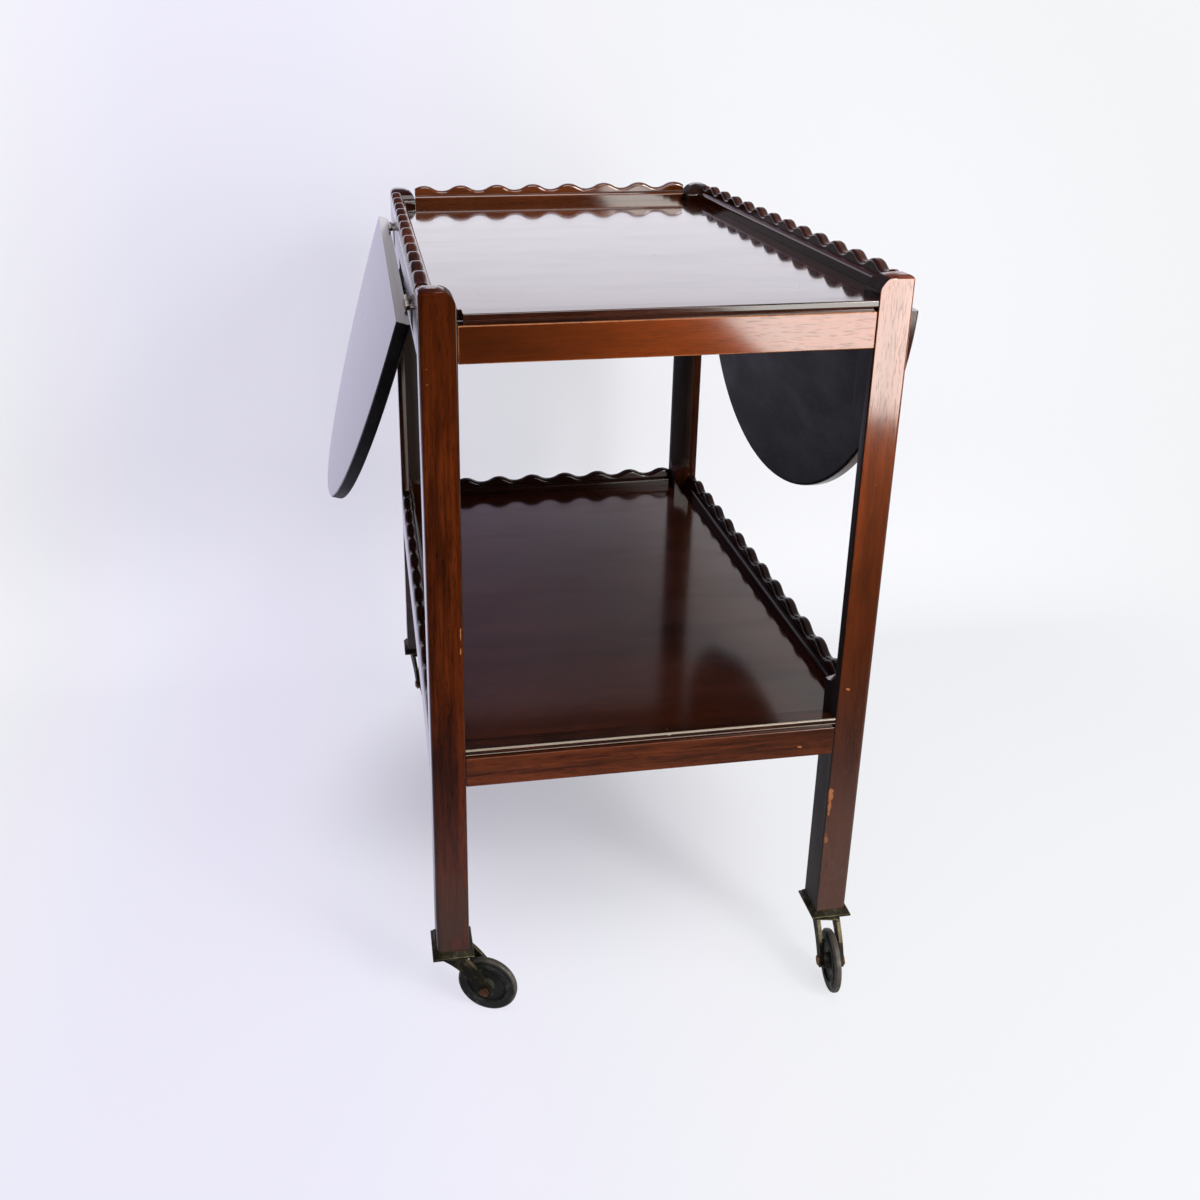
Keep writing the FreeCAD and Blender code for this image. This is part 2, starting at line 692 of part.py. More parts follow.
def make_fork(label, placement):
    """Two curved arms under a bridge. The swivel line is local Z and the wheel trails along +X."""
    top = value("plate_bottom - swivel_gap")
    trail, axle_z = size("caster_trail"), size("wheel_radius")
    boss = size("boss_radius")
    back, front = size("bridge_back"), size("bridge_front")
    low = top - 2 * size("bridge_height")
    fork = new_body(label)
    arm = sketch_on(fork, "XZ_Plane", label + "_arm_outline")
    bend = size("arm_bend")
    outer_bend = (front + bend * (trail + boss - front), axle_z + size("arm_bend_rise") * (top - axle_z))
    inner_bend = (bend * (trail - boss + back) - back, axle_z + size("arm_hollow_rise") * (low - axle_z))
    draw(
        arm,
        (-back, low),
        (-back, top),
        (front, top),
        (outer_bend, (trail + boss, axle_z)),
        ((trail, axle_z - boss), (trail - boss, axle_z)),
        (inner_bend, (-back, low)),
    )
    width = "wheel_width + 2 * arm_clearance + 2 * arm_thickness"
    feature(fork, "Pad", label + "_arms", arm, SideType="Symmetric", bound={"Length": width})
    half_gap = value("wheel_width / 2 + arm_clearance")
    opening = sketch_on(fork, "YZ_Plane", label + "_opening")
    ceiling = top - size("bridge_height")
    draw(opening, (-half_gap, 0), (half_gap, 0), (half_gap, ceiling), (-half_gap, ceiling))
    feature(fork, "Pocket", label + "_gap", opening, Type="ThroughAll", SideType="Symmetric")
    eye = sketch_on(fork, "XZ_Plane", label + "_axle_eye")
    circle(eye, trail, axle_z, "axle_radius + fit")
    feature(fork, "Pocket", label + "_axle_hole", eye, Type="ThroughAll", SideType="Symmetric")
    hole = sketch_on(fork, "XY_Plane", label + "_king_eye")
    circle(hole, 0, 0, "king_radius + fit")
    feature(fork, "Pocket", label + "_king_hole", hole, Reversed=True, Type="ThroughAll")
    node(fork, label, placement)


def make_wheel(label, placement):
    """Wheel turned about local Y: hub, thin web, rim ring and rounded tread."""
    bore = value("axle_radius + fit")
    hub, web = value("wheel_width / 2 + arm_clearance - swivel_gap"), value("web / 2")
    half, step = value("wheel_width / 2"), size("rim_step")
    rim, ring, tread = size("rim_radius"), size("ring_radius"), size("wheel_radius")
    soft = size("tyre_round")
    inset = soft * (1 - math.sqrt(0.5))
    wheel = new_body(label)
    profile = sketch_on(wheel, "XY_Plane", label + "_profile")
    boss = size("hub_radius")
    draw(
        profile,
        (bore, -hub),
        (boss, -hub),
        (boss, -web),
        (rim, -web),
        (rim, -half),
        (ring, -half),
        (ring, -half + step),
        (tread - soft, -half + step),
        ((tread - inset, -half + step + inset), (tread, -half + step + soft)),
        (tread, half - step - soft),
        ((tread - inset, half - step - inset), (tread - soft, half - step)),
        (ring, half - step),
        (ring, half),
        (rim, half),
        (rim, web),
        (boss, web),
        (boss, hub),
        (bore, hub),
    )
    turned = wheel.newObject("PartDesign::Revolution", label + "_turned")
    turned.Profile = profile
    turned.ReferenceAxis = (profile, ["V_Axis"])
    turned.Angle = 360
    node(wheel, label, placement)


def overall_box():
    box = FreeCAD.BoundBox()
    for item in nodes:
        box.add(item.Shape.optimalBoundingBox(False, False))
    return box


king_pins = []
for corner, (x_side, y_side, angle, heading) in CORNERS.items():
    make_leg("leg_" + corner, x_side, y_side, angle)
    king_pins.append(make_caster(corner, x_side, y_side, heading))
node(group("king_pins", king_pins), "caster_king_pins")
make_tier("tray", "tray_top", "tray_apron", "nosing_gap")
make_tier("shelf", "shelf_top", "shelf_apron", "0")
for side, half_turn in SIDES.items():
    make_side(side, half_turn)
    plain = side_apron(side + "_shelf_side", "shelf_top", "shelf_apron")
    plain.Placement = turn(ABOUT_Z, half_turn) * plain.Placement
    node(plain, "shelf_apron_" + side)
doc.recompute()

# The origin is the middle of the footprint on the floor, leaves and casters included.
box = overall_box()
centre = shift(-box.Center.x, -box.Center.y, -box.ZMin)
for item in nodes:
    item.Placement = centre * item.Placement
doc.recompute()

for item in doc.Objects:
    if "Invalid" in item.State or "Error" in item.State:
        raise RuntimeError("%s could not be made: %s" % (item.Label, item.State))
for item in nodes:
    if item.Shape.isNull() or not item.Shape.isValid():
        raise RuntimeError("%s has no sound shape" % item.Label)
os.makedirs("parts", exist_ok=True)
for item in nodes:
    item.Shape.exportStep("parts/%s.step" % item.Label)
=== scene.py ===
import json
import math

import bmesh
import bpy
from mathutils import Matrix, Vector


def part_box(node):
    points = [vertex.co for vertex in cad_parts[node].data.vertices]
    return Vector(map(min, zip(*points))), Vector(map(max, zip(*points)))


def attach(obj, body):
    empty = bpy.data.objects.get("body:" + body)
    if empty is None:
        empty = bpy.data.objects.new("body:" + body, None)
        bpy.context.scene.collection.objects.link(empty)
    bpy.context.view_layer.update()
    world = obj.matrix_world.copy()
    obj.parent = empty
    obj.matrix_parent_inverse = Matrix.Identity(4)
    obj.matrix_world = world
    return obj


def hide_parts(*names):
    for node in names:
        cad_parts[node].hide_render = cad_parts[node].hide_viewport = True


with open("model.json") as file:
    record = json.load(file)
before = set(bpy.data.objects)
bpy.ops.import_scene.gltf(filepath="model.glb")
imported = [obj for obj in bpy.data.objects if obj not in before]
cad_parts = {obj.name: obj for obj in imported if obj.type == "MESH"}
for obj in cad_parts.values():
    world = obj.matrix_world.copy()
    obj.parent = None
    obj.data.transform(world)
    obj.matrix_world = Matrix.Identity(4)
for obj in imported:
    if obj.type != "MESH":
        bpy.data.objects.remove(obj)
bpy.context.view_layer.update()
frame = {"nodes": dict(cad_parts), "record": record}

# Two-tier tea trolley in polished mahogany, with brass hinges and dark brass casters.
# Lengths are in metres. X runs to the right, Y to the back and Z up.

cad_nodes = frame["nodes"]
record = frame["record"]
carriers = {
    node: body
    for body, members in record["behaviour"]["bodies"].items()
    for node in members
}
scene = bpy.context.scene
scene.view_settings.view_transform = "Standard"

frame_low = Vector(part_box("leg_front_left")[0])
frame_high = Vector(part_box("leg_back_right")[1])
middle = Vector(((frame_low.x + frame_high.x) / 2, (frame_low.y + frame_high.y) / 2, 0))


# Node graphs

def place(tree, kind, given=None, **settings):
    """Node with its settings. A given input is a plain value or the socket that feeds it."""
    node = tree.nodes.new("ShaderNode" + kind)
    for name, setting in settings.items():
        setattr(node, name, setting)
    for name, source in (given or {}).items():
        if isinstance(source, bpy.types.NodeSocket):
            tree.links.new(source, node.inputs[name])
        else:
            node.inputs[name].default_value = source
    return node


def sums(tree, operation, first, second=0.0):
    return place(tree, "Math", {0: first, 1: second}, operation=operation).outputs[0]


def times(tree, first, second):
    return sums(tree, "MULTIPLY", first, second)


def most(tree, first, second):
    return sums(tree, "MAXIMUM", first, second)


def mixed(tree, share, first, second):
    """Value that goes from first to second as the share grows."""
    return place(tree, "Mix", {0: share, 2: first, 3: second}).outputs[0]


def between(tree, source, low, high, start=0.0, end=1.0):
    """Smooth step of a value from low to high, given out from start to end."""
    given = {"Value": source, "From Min": low, "From Max": high, "To Min": start, "To Max": end}
    return place(tree, "MapRange", given, interpolation_type="SMOOTHSTEP").outputs[0]


def tint(tree, share, first, second, way="MIX"):
    given = {0: share, 6: first, 7: second}
    return place(tree, "Mix", given, data_type="RGBA", blend_type=way).outputs[2]


def vectors(tree, operation, first, second=(0, 0, 0)):
    given = {0: first, 1: second}
    return place(tree, "VectorMath", given, operation=operation).outputs


def stretch(tree, vector, x, y, z):
    return vectors(tree, "MULTIPLY", vector, (x, y, z))["Vector"]


def noise(tree, vector, scale, detail=2.0, roughness=0.5, distortion=0.0):
    given = {"Vector": vector, "Scale": scale, "Detail": detail, "Roughness": roughness}
    given["Distortion"] = distortion
    return place(tree, "TexNoise", given).outputs["Fac"]


def new_group(name, inputs, outputs):
    """Empty node group with its sockets, named with their kinds, and the sockets inside it."""
    tree = bpy.data.node_groups.new(name, "ShaderNodeTree")
    for direction, sockets in (("INPUT", inputs), ("OUTPUT", outputs)):
        for label, kind in sockets.items():
            tree.interface.new_socket(label, in_out=direction, socket_type="NodeSocket" + kind)
    start = tree.nodes.new("NodeGroupInput")
    end = tree.nodes.new("NodeGroupOutput")
    return tree, start.outputs, end.inputs


def use(tree, group, given):
    return place(tree, "Group", given, node_tree=group).outputs


# Effects that several finishes share

# Scales of the patterns, in features per metre.
STREAK_SCALE = 52
LINE_SCALE = 330
CLOUD_SCALE = 14
PORE_SCALE = 900
WEAR_PATCH_SCALE = 34
WEAR_NICK_SCALE = 420
SPECK_RIM_SCALE = 700
SPECK_SCALE = 75
CHIP_RIM_SCALE = 380
SCRATCH_SCALE = 26
SCRATCH_BREAK_SCALE = 41
SCUFF_SCALE = 42
SMEAR_SCALE = 16
TARNISH_SCALE = 120
PIT_SCALE = 1500

# How fast a pattern changes along its long way, as a share of its change across that.
STREAK_DRAW = 0.055
CLOUD_DRAW = 0.4
PORE_DRAW = 0.10
SCRATCH_DRAW = 0.22
SMEAR_DRAW = 0.3

# Values of a pattern between which it goes from nothing to full.
PORE_EDGE = (0.54, 0.68)
WEAR_EDGE = (0.92, 1.08)
CHIP_RIM_EDGE = (0.3, 0.7)
CHIP_EDGE = (0.85, 1.0)
SCRATCH_BREAK_EDGE = (0.52, 0.62)
SCUFF_EDGE = (0.25, 0.52)
SMEAR_EDGE = (0.32, 0.60)
RUBBED_METAL_EDGE = (0.40, 0.66)
METAL_ARRIS_EDGE = (0.3, 0.6)
PIT_EDGE = (0.35, 0.6)

# Shares that add up the parts of a pattern.
STREAK_SHARE = 0.42
LINE_SHARE = 0.28
CLOUD_SHARE = 0.30
WEAR_PATCH_SHARE = 0.7
WEAR_NICK_SHARE = 0.3

HALF_TONE = 0.5
PORE_TINT = (0.30, 0.26, 0.26, 1)
PORE_SHARE = 0.65
SPECK_WANDER = 0.0012
SPECK_RARITY = 0.9
SPECK_SIZE = 0.06
CHIP_RAGGED = 0.35
SCRATCH_WIDTH = 0.0035
FULL_DUST = 0.85
METAL_ARRIS_SHARES = (0.35, 1.0)
PIT_SHARES = (0.6, 1.0)
TARNISH_BLUR = (0.62, 0.30)


def make_grain():
    """Mahogany figure with the grain along Z: streaks, cloudy patches and short open pores.

    A higher Calm brings the dark and the warm colour closer together."""
    tree, given, out = new_group(
        "mahogany_grain",
        {"Vector": "Vector", "Dark": "Color", "Warm": "Color", "Calm": "Float"},
        {"Color": "Color", "Pores": "Float", "Cloud": "Float"},
    )
    vector = given["Vector"]
    along = stretch(tree, vector, 1, 1, STREAK_DRAW)
    streaks = noise(tree, along, STREAK_SCALE, detail=4, roughness=0.62, distortion=0.5)
    lines = noise(tree, along, LINE_SCALE, detail=3, roughness=0.6)
    patches = stretch(tree, vector, 1, 1, CLOUD_DRAW)
    cloud = noise(tree, patches, CLOUD_SCALE, detail=4, roughness=0.6)
    dashes = noise(tree, stretch(tree, vector, 1, 1, PORE_DRAW), PORE_SCALE, detail=1)
    pores = between(tree, dashes, *PORE_EDGE)
    tone = times(tree, streaks, STREAK_SHARE)
    tone = sums(tree, "ADD", tone, times(tree, lines, LINE_SHARE))
    tone = sums(tree, "ADD", tone, times(tree, cloud, CLOUD_SHARE))
    low = sums(tree, "SUBTRACT", HALF_TONE, given["Calm"])
    high = sums(tree, "ADD", HALF_TONE, given["Calm"])
    wood = tint(tree, between(tree, tone, low, high), given["Dark"], given["Warm"])
    deep = tint(tree, 1.0, wood, PORE_TINT, "MULTIPLY")
    colour = tint(tree, times(tree, pores, PORE_SHARE), wood, deep)
    tree.links.new(colour, out["Color"])
    tree.links.new(pores, out["Pores"])
    tree.links.new(cloud, out["Cloud"])
    return tree


def make_fade():
    """Colour that changes towards one end of a piece, where shares of it are left at both ends.

    On the right front leg, the front apron and the back gallery it paints light.
    """
    tree, given, out = new_group(
        "faded_end",
        {
            "Color": "Color",
            "Way": "Float",
            "Start": "Float",
            "End": "Float",
            "First": "Float",
            "Last": "Float",
        },
        {"Color": "Color"},
    )
    left = between(
        tree, given["Way"], given["Start"], given["End"], given["First"], given["Last"]
    )
    tree.links.new(tint(tree, 1.0, given["Color"], left, "MULTIPLY"), out["Color"])
    return tree


def make_rub():
    """Patchy wear along the arrises, from the share of each face that is an arris."""
    tree, given, out = new_group(
        "rubbed_arris",
        {"Vector": "Vector", "Arris": "Float", "Amount": "Float"},
        {"Mask": "Float"},
    )
    patches = noise(tree, given["Vector"], WEAR_PATCH_SCALE, detail=5, roughness=0.65)
    nicks = noise(tree, given["Vector"], WEAR_NICK_SCALE, detail=2)
    wear = times(tree, patches, WEAR_PATCH_SHARE)
    wear = sums(tree, "ADD", wear, times(tree, nicks, WEAR_NICK_SHARE))
    worn = between(tree, sums(tree, "ADD", wear, given["Amount"]), *WEAR_EDGE)
    tree.links.new(times(tree, worn, given["Arris"]), out["Mask"])
    return tree


def make_knocks():
    """Scattered small specks where the polish is chipped."""
    tree, given, out = new_group("chipped_specks", {"Vector": "Vector"}, {"Mask": "Float"})
    vector = given["Vector"]
    rims = {"Vector": vector, "Scale": SPECK_RIM_SCALE, "Detail": 2.0}
    ragged = place(tree, "TexNoise", rims).outputs["Color"]
    wander = stretch(tree, ragged, SPECK_WANDER, SPECK_WANDER, SPECK_WANDER)
    moved = vectors(tree, "ADD", vector, wander)["Vector"]
    cells = place(tree, "TexVoronoi", {"Vector": moved, "Scale": SPECK_SCALE}).outputs
    chosen = place(tree, "SeparateColor", {0: cells["Color"]}).outputs
    kept = sums(tree, "GREATER_THAN", chosen[0], SPECK_RARITY)
    inside = sums(tree, "LESS_THAN", cells["Distance"], times(tree, chosen[1], SPECK_SIZE))
    tree.links.new(times(tree, kept, inside), out["Mask"])
    return tree


def make_chip():
    """One chip with a ragged rim, at a given spot and with given half sizes."""
    tree, given, out = new_group(
        "single_chip",
        {"Vector": "Vector", "Spot": "Vector", "Spread": "Vector"},
        {"Mask": "Float"},
    )
    offset = vectors(tree, "SUBTRACT", given["Vector"], given["Spot"])["Vector"]
    scaled = vectors(tree, "DIVIDE", offset, given["Spread"])["Vector"]
    reach = vectors(tree, "LENGTH", scaled)["Value"]
    rim = noise(tree, given["Vector"], CHIP_RIM_SCALE, detail=3)
    ragged = between(tree, rim, *CHIP_RIM_EDGE, -CHIP_RAGGED, CHIP_RAGGED)
    inside = between(tree, sums(tree, "ADD", reach, ragged), *CHIP_EDGE, 1.0, 0.0)
    tree.links.new(inside, out["Mask"])
    return tree


def make_scratches():
    """Fine broken lines left in the polish by use."""
    tree, given, out = new_group("polish_scratches", {"Vector": "Vector"}, {"Mask": "Float"})
    bent = stretch(tree, given["Vector"], 1.0, SCRATCH_DRAW, 1.0)
    waves = noise(tree, bent, SCRATCH_SCALE, detail=1, distortion=0.3)
    line = sums(tree, "ABSOLUTE", sums(tree, "SUBTRACT", waves, HALF_TONE))
    thin = between(tree, line, 0.0, SCRATCH_WIDTH, 1.0, 0.0)
    breaks = noise(tree, given["Vector"], SCRATCH_BREAK_SCALE, detail=2)
    broken = between(tree, breaks, *SCRATCH_BREAK_EDGE)
    tree.links.new(times(tree, thin, broken), out["Mask"])
    return tree


def make_dust():
    """Scuffed dust on the foot of a leg, full below Low and gone above High."""
    tree, given, out = new_group(
        "settled_dust",
        {"Vector": "Vector", "Low": "Float", "High": "Float"},
        {"Mask": "Float"},
    )
    height = place(tree, "SeparateXYZ", {0: given["Vector"]}).outputs[2]
    scuffs = noise(tree, given["Vector"], SCUFF_SCALE, detail=5, roughness=0.65)
    fallen = between(tree, height, given["Low"], given["High"], FULL_DUST, 0.0)
    settled = times(tree, between(tree, scuffs, *SCUFF_EDGE), fallen)
    tree.links.new(settled, out["Mask"])
    return tree


def make_smears():
    """Share of the polish that wiping left, down to Dullest in patches along the grain."""
    tree, given, out = new_group(
        "wiped_smears", {"Vector": "Vector", "Dullest": "Float"}, {"Share": "Float"}
    )
    wiped = stretch(tree, given["Vector"], 1, 1, SMEAR_DRAW)
    wiped = noise(tree, wiped, SMEAR_SCALE, detail=6, roughness=0.62)
    share = between(tree, wiped, *SMEAR_EDGE, given["Dullest"], 1.0)
    tree.links.new(share, out["Share"])
    return tree


def make_tarnish():
    """Tarnish on a metal: cloudy darkening, fine pits and brighter rubbed arrises."""
    tree, given, out = new_group(
        "metal_tarnish",
        {
            "Vector": "Vector",
            "Arris": "Float",
            "Dull": "Color",
            "Bright": "Color",
            "Polish": "Float",
        },
        {"Color": "Color", "Roughness": "Float", "Pits": "Float"},
    )
    cloud = noise(tree, given["Vector"], TARNISH_SCALE, detail=5, roughness=0.6)
    pits = noise(tree, given["Vector"], PIT_SCALE, detail=3, roughness=0.6)
    rubbed = between(tree, sums(tree, "ADD", cloud, given["Polish"]), *RUBBED_METAL_EDGE)
    patches = between(tree, cloud, *METAL_ARRIS_EDGE, *METAL_ARRIS_SHARES)
    share = most(tree, rubbed, times(tree, given["Arris"], patches))
    share = times(tree, share, between(tree, pits, *PIT_EDGE, *PIT_SHARES))
    tree.links.new(tint(tree, share, given["Dull"], given["Bright"]), out["Color"])
    tree.links.new(between(tree, share, 0.0, 1.0, *TARNISH_BLUR), out["Roughness"])
    tree.links.new(pits, out["Pits"])
    return tree


GRAIN = make_grain()
FADE = make_fade()
RUB = make_rub()
KNOCKS = make_knocks()
CHIP = make_chip()
SCRATCHES = make_scratches()
DUST = make_dust()
SMEARS = make_smears()
TARNISH = make_tarnish()


# Finishes

# Turns of the pattern that lay the grain along each way of the frame.
GRAIN_TURNS = {
    "x": (0, -math.pi / 2, 0),
    "y": (math.pi / 2, 0, 0),
    "z": (0, 0, 0),
}
# How far a seed moves the pattern each way, so that no two finishes show the same figure.
SEED_STEPS = (1.0, 0.7, 1.3)

FIBRE_SHEEN = (1.0, 0.23, 0.045, 1)
CLEAR = (1.0, 1.0, 1.0, 1)
BARE = (0.26, 0.100, 0.035, 1)
# Grey of settled dust; on the legs' inner sides it is also a painted reflection of the pale floor.
DUST_AND_REFLECTION_GREY = (0.032, 0.024, 0.020, 1)

CLOUD_EDGE = (0.3, 0.7)
PORE_DEPTH = 0.0003
PIT_DEPTH = 0.0002

# What worn places and scratches do to the polish.
SPECK_LOSS = 0.7
WORN_LOSS = 0.7
WORN_BLUR = 0.2
WORN_HOLLOW = 0.6
SCRATCH_LOSS = 0.4

# Settings of the dark matt wood, whose near-black on the legs' inner sides is painted shade.
MATT_CALM = 0.10
MATT_BLUR = (0.48, 0.62)
MATT_SHEEN = 0.16
MATT_RELIEF = 0.3
MATT_DUST_AND_REFLECTION = 0.9


def new_finish(name):
    finish = bpy.data.materials.new(name)
    finish.use_nodes = True
    tree = finish.node_tree
    tree.nodes.clear()
    shader = place(tree, "BsdfPrincipled")
    surface = place(tree, "OutputMaterial")
    tree.links.new(shader.outputs[0], surface.inputs["Surface"])
    return finish, tree, shader


def turn_grain(tree, spot, way, seed):
    """Place in the pattern of the wood, with the grain along the given way."""
    given = {"Vector": spot, "Rotation": GRAIN_TURNS[way]}
    given["Location"] = [seed * step for step in SEED_STEPS]
    return place(tree, "Mapping", given).outputs[0]


def polished_wood(
    name, way, dark, warm, seed, calm=0.10, rub=0.25, gloss=0.12, polish=1.0, thick=1.52,
    under=(0.38, 0.50), sheen=0.0, gleam=FIBRE_SHEEN, relief=0.25, bare=BARE, fade=None,
    dust=None, smears=0.0, open_pores=0.0, chips=(),
):
    """Polished mahogany with the grain along the given way.

    rub is how far the arrises are worn, gloss the blur of the polish, polish its share and
    thick its index. under is the blur of the wood below the polish, sheen how much it shines
    and gleam the colour of that. relief is the depth of the pores, and bare the colour where
    the polish is gone. fade scales the colour towards one end: the axis, where it starts and
    ends, and the shares left at both; on the right front leg, the front apron and the back
    gallery it paints light. dust gives the two heights between which a dusty foot fades out.
    smears is how far cloths dulled the polish, and open_pores how far the pores break it.
    Each chip is a spot and its half sizes."""
    finish, tree, shader = new_finish(name)
    spot = place(tree, "TexCoord").outputs["Object"]
    turned = turn_grain(tree, spot, way, seed)
    grain = use(tree, GRAIN, {"Vector": turned, "Dark": dark, "Warm": warm, "Calm": calm})
    colour = grain["Color"]
    if fade:
        axis, start, end, first, last = fade
        along = place(tree, "SeparateXYZ", {0: spot}).outputs["xyz".index(axis)]
        given = {"Color": colour, "Way": along, "Start": start, "End": end}
        colour = use(tree, FADE, given | {"First": first, "Last": last})["Color"]
    arris = place(tree, "Attribute", attribute_name="arris").outputs["Fac"]
    bared = use(tree, RUB, {"Vector": spot, "Arris": arris, "Amount": rub})["Mask"]
    specks = use(tree, KNOCKS, {"Vector": spot})["Mask"]
    bared = most(tree, bared, times(tree, specks, SPECK_LOSS))
    for centre, spread in chips:
        chip = use(tree, CHIP, {"Vector": spot, "Spot": centre, "Spread": spread})["Mask"]
        bared = most(tree, bared, chip)
    colour = tint(tree, bared, colour, bare)
    lost = bared
    if dust:
        low, high = dust
        settled = use(tree, DUST, {"Vector": spot, "Low": low, "High": high})["Mask"]
        colour = tint(tree, settled, colour, DUST_AND_REFLECTION_GREY)
        lost = most(tree, lost, settled)
    tree.links.new(colour, shader.inputs["Base Color"])
    rough = between(tree, grain["Cloud"], *CLOUD_EDGE, *under)
    rough = sums(tree, "ADD", rough, times(tree, lost, WORN_BLUR))
    tree.links.new(rough, shader.inputs["Roughness"])
    scratches = use(tree, SCRATCHES, {"Vector": turned})["Mask"]
    lost = most(tree, times(tree, lost, WORN_LOSS), times(tree, scratches, SCRATCH_LOSS))
    kept = between(tree, lost, 0.0, 1.0, polish, 0.0)
    if open_pores:
        unbroken = between(tree, grain["Pores"], 0.0, 1.0, 1.0, 1.0 - open_pores)
        kept = times(tree, kept, unbroken)
    if smears:
        wiped = use(tree, SMEARS, {"Vector": turned, "Dullest": 1.0 - smears})["Share"]
        kept = times(tree, kept, wiped)
    tree.links.new(kept, shader.inputs["Coat Weight"])
    shader.inputs["Coat Roughness"].default_value = gloss
    shader.inputs["Coat IOR"].default_value = thick
    shader.inputs["Specular IOR Level"].default_value = sheen
    shader.inputs["Specular Tint"].default_value = gleam
    hollow = sums(tree, "ADD", grain["Pores"], times(tree, bared, WORN_HOLLOW))
    given = {"Height": hollow, "Strength": relief, "Distance": PORE_DEPTH}
    bump = place(tree, "Bump", given, invert=True)
    tree.links.new(bump.outputs[0], shader.inputs["Normal"])
    return finish


def matt_dark_wood(name, way, dark, warm, seed, dust=None):
    """Unpolished dark matt wood, with the grain along the given way. On the legs' inner sides its
    near-black is painted shade.

    dust gives the two heights between which a grey foot fades out: partly dust and partly a
    painted reflection of the pale floor."""
    finish, tree, shader = new_finish(name)
    spot = place(tree, "TexCoord").outputs["Object"]
    turned = turn_grain(tree, spot, way, seed)
    given = {"Vector": turned, "Dark": dark, "Warm": warm, "Calm": MATT_CALM}
    grain = use(tree, GRAIN, given)
    colour = grain["Color"]
    if dust:
        height = place(tree, "SeparateXYZ", {0: spot}).outputs[2]
        colour = tint(tree, between(tree, height, *dust, MATT_DUST_AND_REFLECTION, 0.0), colour, DUST_AND_REFLECTION_GREY)
    tree.links.new(colour, shader.inputs["Base Color"])
    rough = between(tree, grain["Cloud"], *CLOUD_EDGE, *MATT_BLUR)
    tree.links.new(rough, shader.inputs["Roughness"])
    shader.inputs["Specular IOR Level"].default_value = MATT_SHEEN
    given = {"Height": grain["Pores"], "Strength": MATT_RELIEF, "Distance": PORE_DEPTH}
    bump = place(tree, "Bump", given, invert=True)
    tree.links.new(bump.outputs[0], shader.inputs["Normal"])
    return finish


def worked_metal(name, dull, bright, polish, metallic=1.0, relief=0.2):
    """Metal with tarnish in its hollows and brighter arrises.

    polish is how far it is rubbed bright, and relief the depth of its pits."""
    finish, tree, shader = new_finish(name)
    spot = place(tree, "TexCoord").outputs["Object"]
    arris = place(tree, "Attribute", attribute_name="arris").outputs["Fac"]
    given = {"Vector": spot, "Arris": arris, "Dull": dull, "Bright": bright, "Polish": polish}
    tarnish = use(tree, TARNISH, given)
    tree.links.new(tarnish["Color"], shader.inputs["Base Color"])
    tree.links.new(tarnish["Roughness"], shader.inputs["Roughness"])
    shader.inputs["Metallic"].default_value = metallic
    given = {"Height": tarnish["Pits"], "Strength": relief, "Distance": PIT_DEPTH}
    bump = place(tree, "Bump", given)
    tree.links.new(bump.outputs[0], shader.inputs["Normal"])
    return finish


# The left front leg's darker tone and the right front leg's lighter one are partly the woods' own
# and partly painted shade and light, the right leg standing nearer the lamps.
LEFT_DARK = (0.015, 0.0028, 0.0005, 1)
LEFT_WARM = (0.085, 0.0140, 0.0015, 1)
REAR_DARK = (0.008, 0.0022, 0.0009, 1)
REAR_WARM = (0.034, 0.0075, 0.0022, 1)
RIGHT_DARK = (0.040, 0.0078, 0.0015, 1)
RIGHT_WARM = (0.180, 0.0290, 0.0030, 1)
FRONT_DARK = (0.036, 0.0054, 0.0005, 1)
FRONT_WARM = (0.140, 0.0215, 0.0016, 1)
CROSS_DARK = (0.020, 0.0052, 0.0018, 1)
CROSS_WARM = (0.095, 0.0205, 0.0050, 1)
DEEP = (0.016, 0.0038, 0.0016, 1)
RED = (0.062, 0.0135, 0.0042, 1)
CREST_DARK = (0.032, 0.0076, 0.0020, 1)
CREST_WARM = (0.120, 0.0310, 0.0085, 1)
LIP_DARK = (0.009, 0.0027, 0.0013, 1)
LIP_WARM = (0.042, 0.0100, 0.0036, 1)
# Pale of the shelf nosing's top edge: bare wood and a painted highlight.
LIP_BARE_AND_HIGHLIGHT = (0.24, 0.20, 0.145, 1)
# Near-black of the shelf's galleries: painted shade under the tray.
SHADY_DARK = (0.004, 0.0016, 0.0010, 1)
SHADY_WARM = (0.018, 0.0055, 0.0028, 1)
# Near-black of the legs' inner sides: painted shade where they look into the trolley, away from
# the lamps.
LEG_INNER_SHADE_DARK = (0.005, 0.0026, 0.0016, 1)
LEG_INNER_SHADE_WARM = (0.020, 0.0085, 0.0045, 1)
LEAF_UNDER_DARK = (0.0024, 0.0020, 0.0023, 1)
LEAF_UNDER_WARM = (0.0070, 0.0056, 0.0060, 1)

LEFT_LEG_CHIPS = (
    ((-0.1500, -0.2985, 0.4440), (0.0008, 0.01, 0.0060)),
    ((-0.1503, -0.2985, 0.4240), (0.0006, 0.01, 0.0035)),
)
RIGHT_LEG_CHIPS = (
    ((0.2262, -0.2985, 0.2260), (0.0031, 0.01, 0.0070)),
    ((0.2266, -0.2985, 0.2100), (0.0017, 0.01, 0.0085)),
    ((0.2262, -0.2985, 0.1715), (0.0022, 0.01, 0.0060)),
    ((0.2330, -0.2985, 0.3500), (0.0022, 0.01, 0.0012)),
)
SHELF_APRON_CHIPS = (((0.1879, -0.2985, 0.2875), (0.0022, 0.01, 0.0012)),)
SHELF_LIP_CHIPS = (((0.0525, -0.2985, 0.3158), (0.0022, 0.02, 0.0011)),)
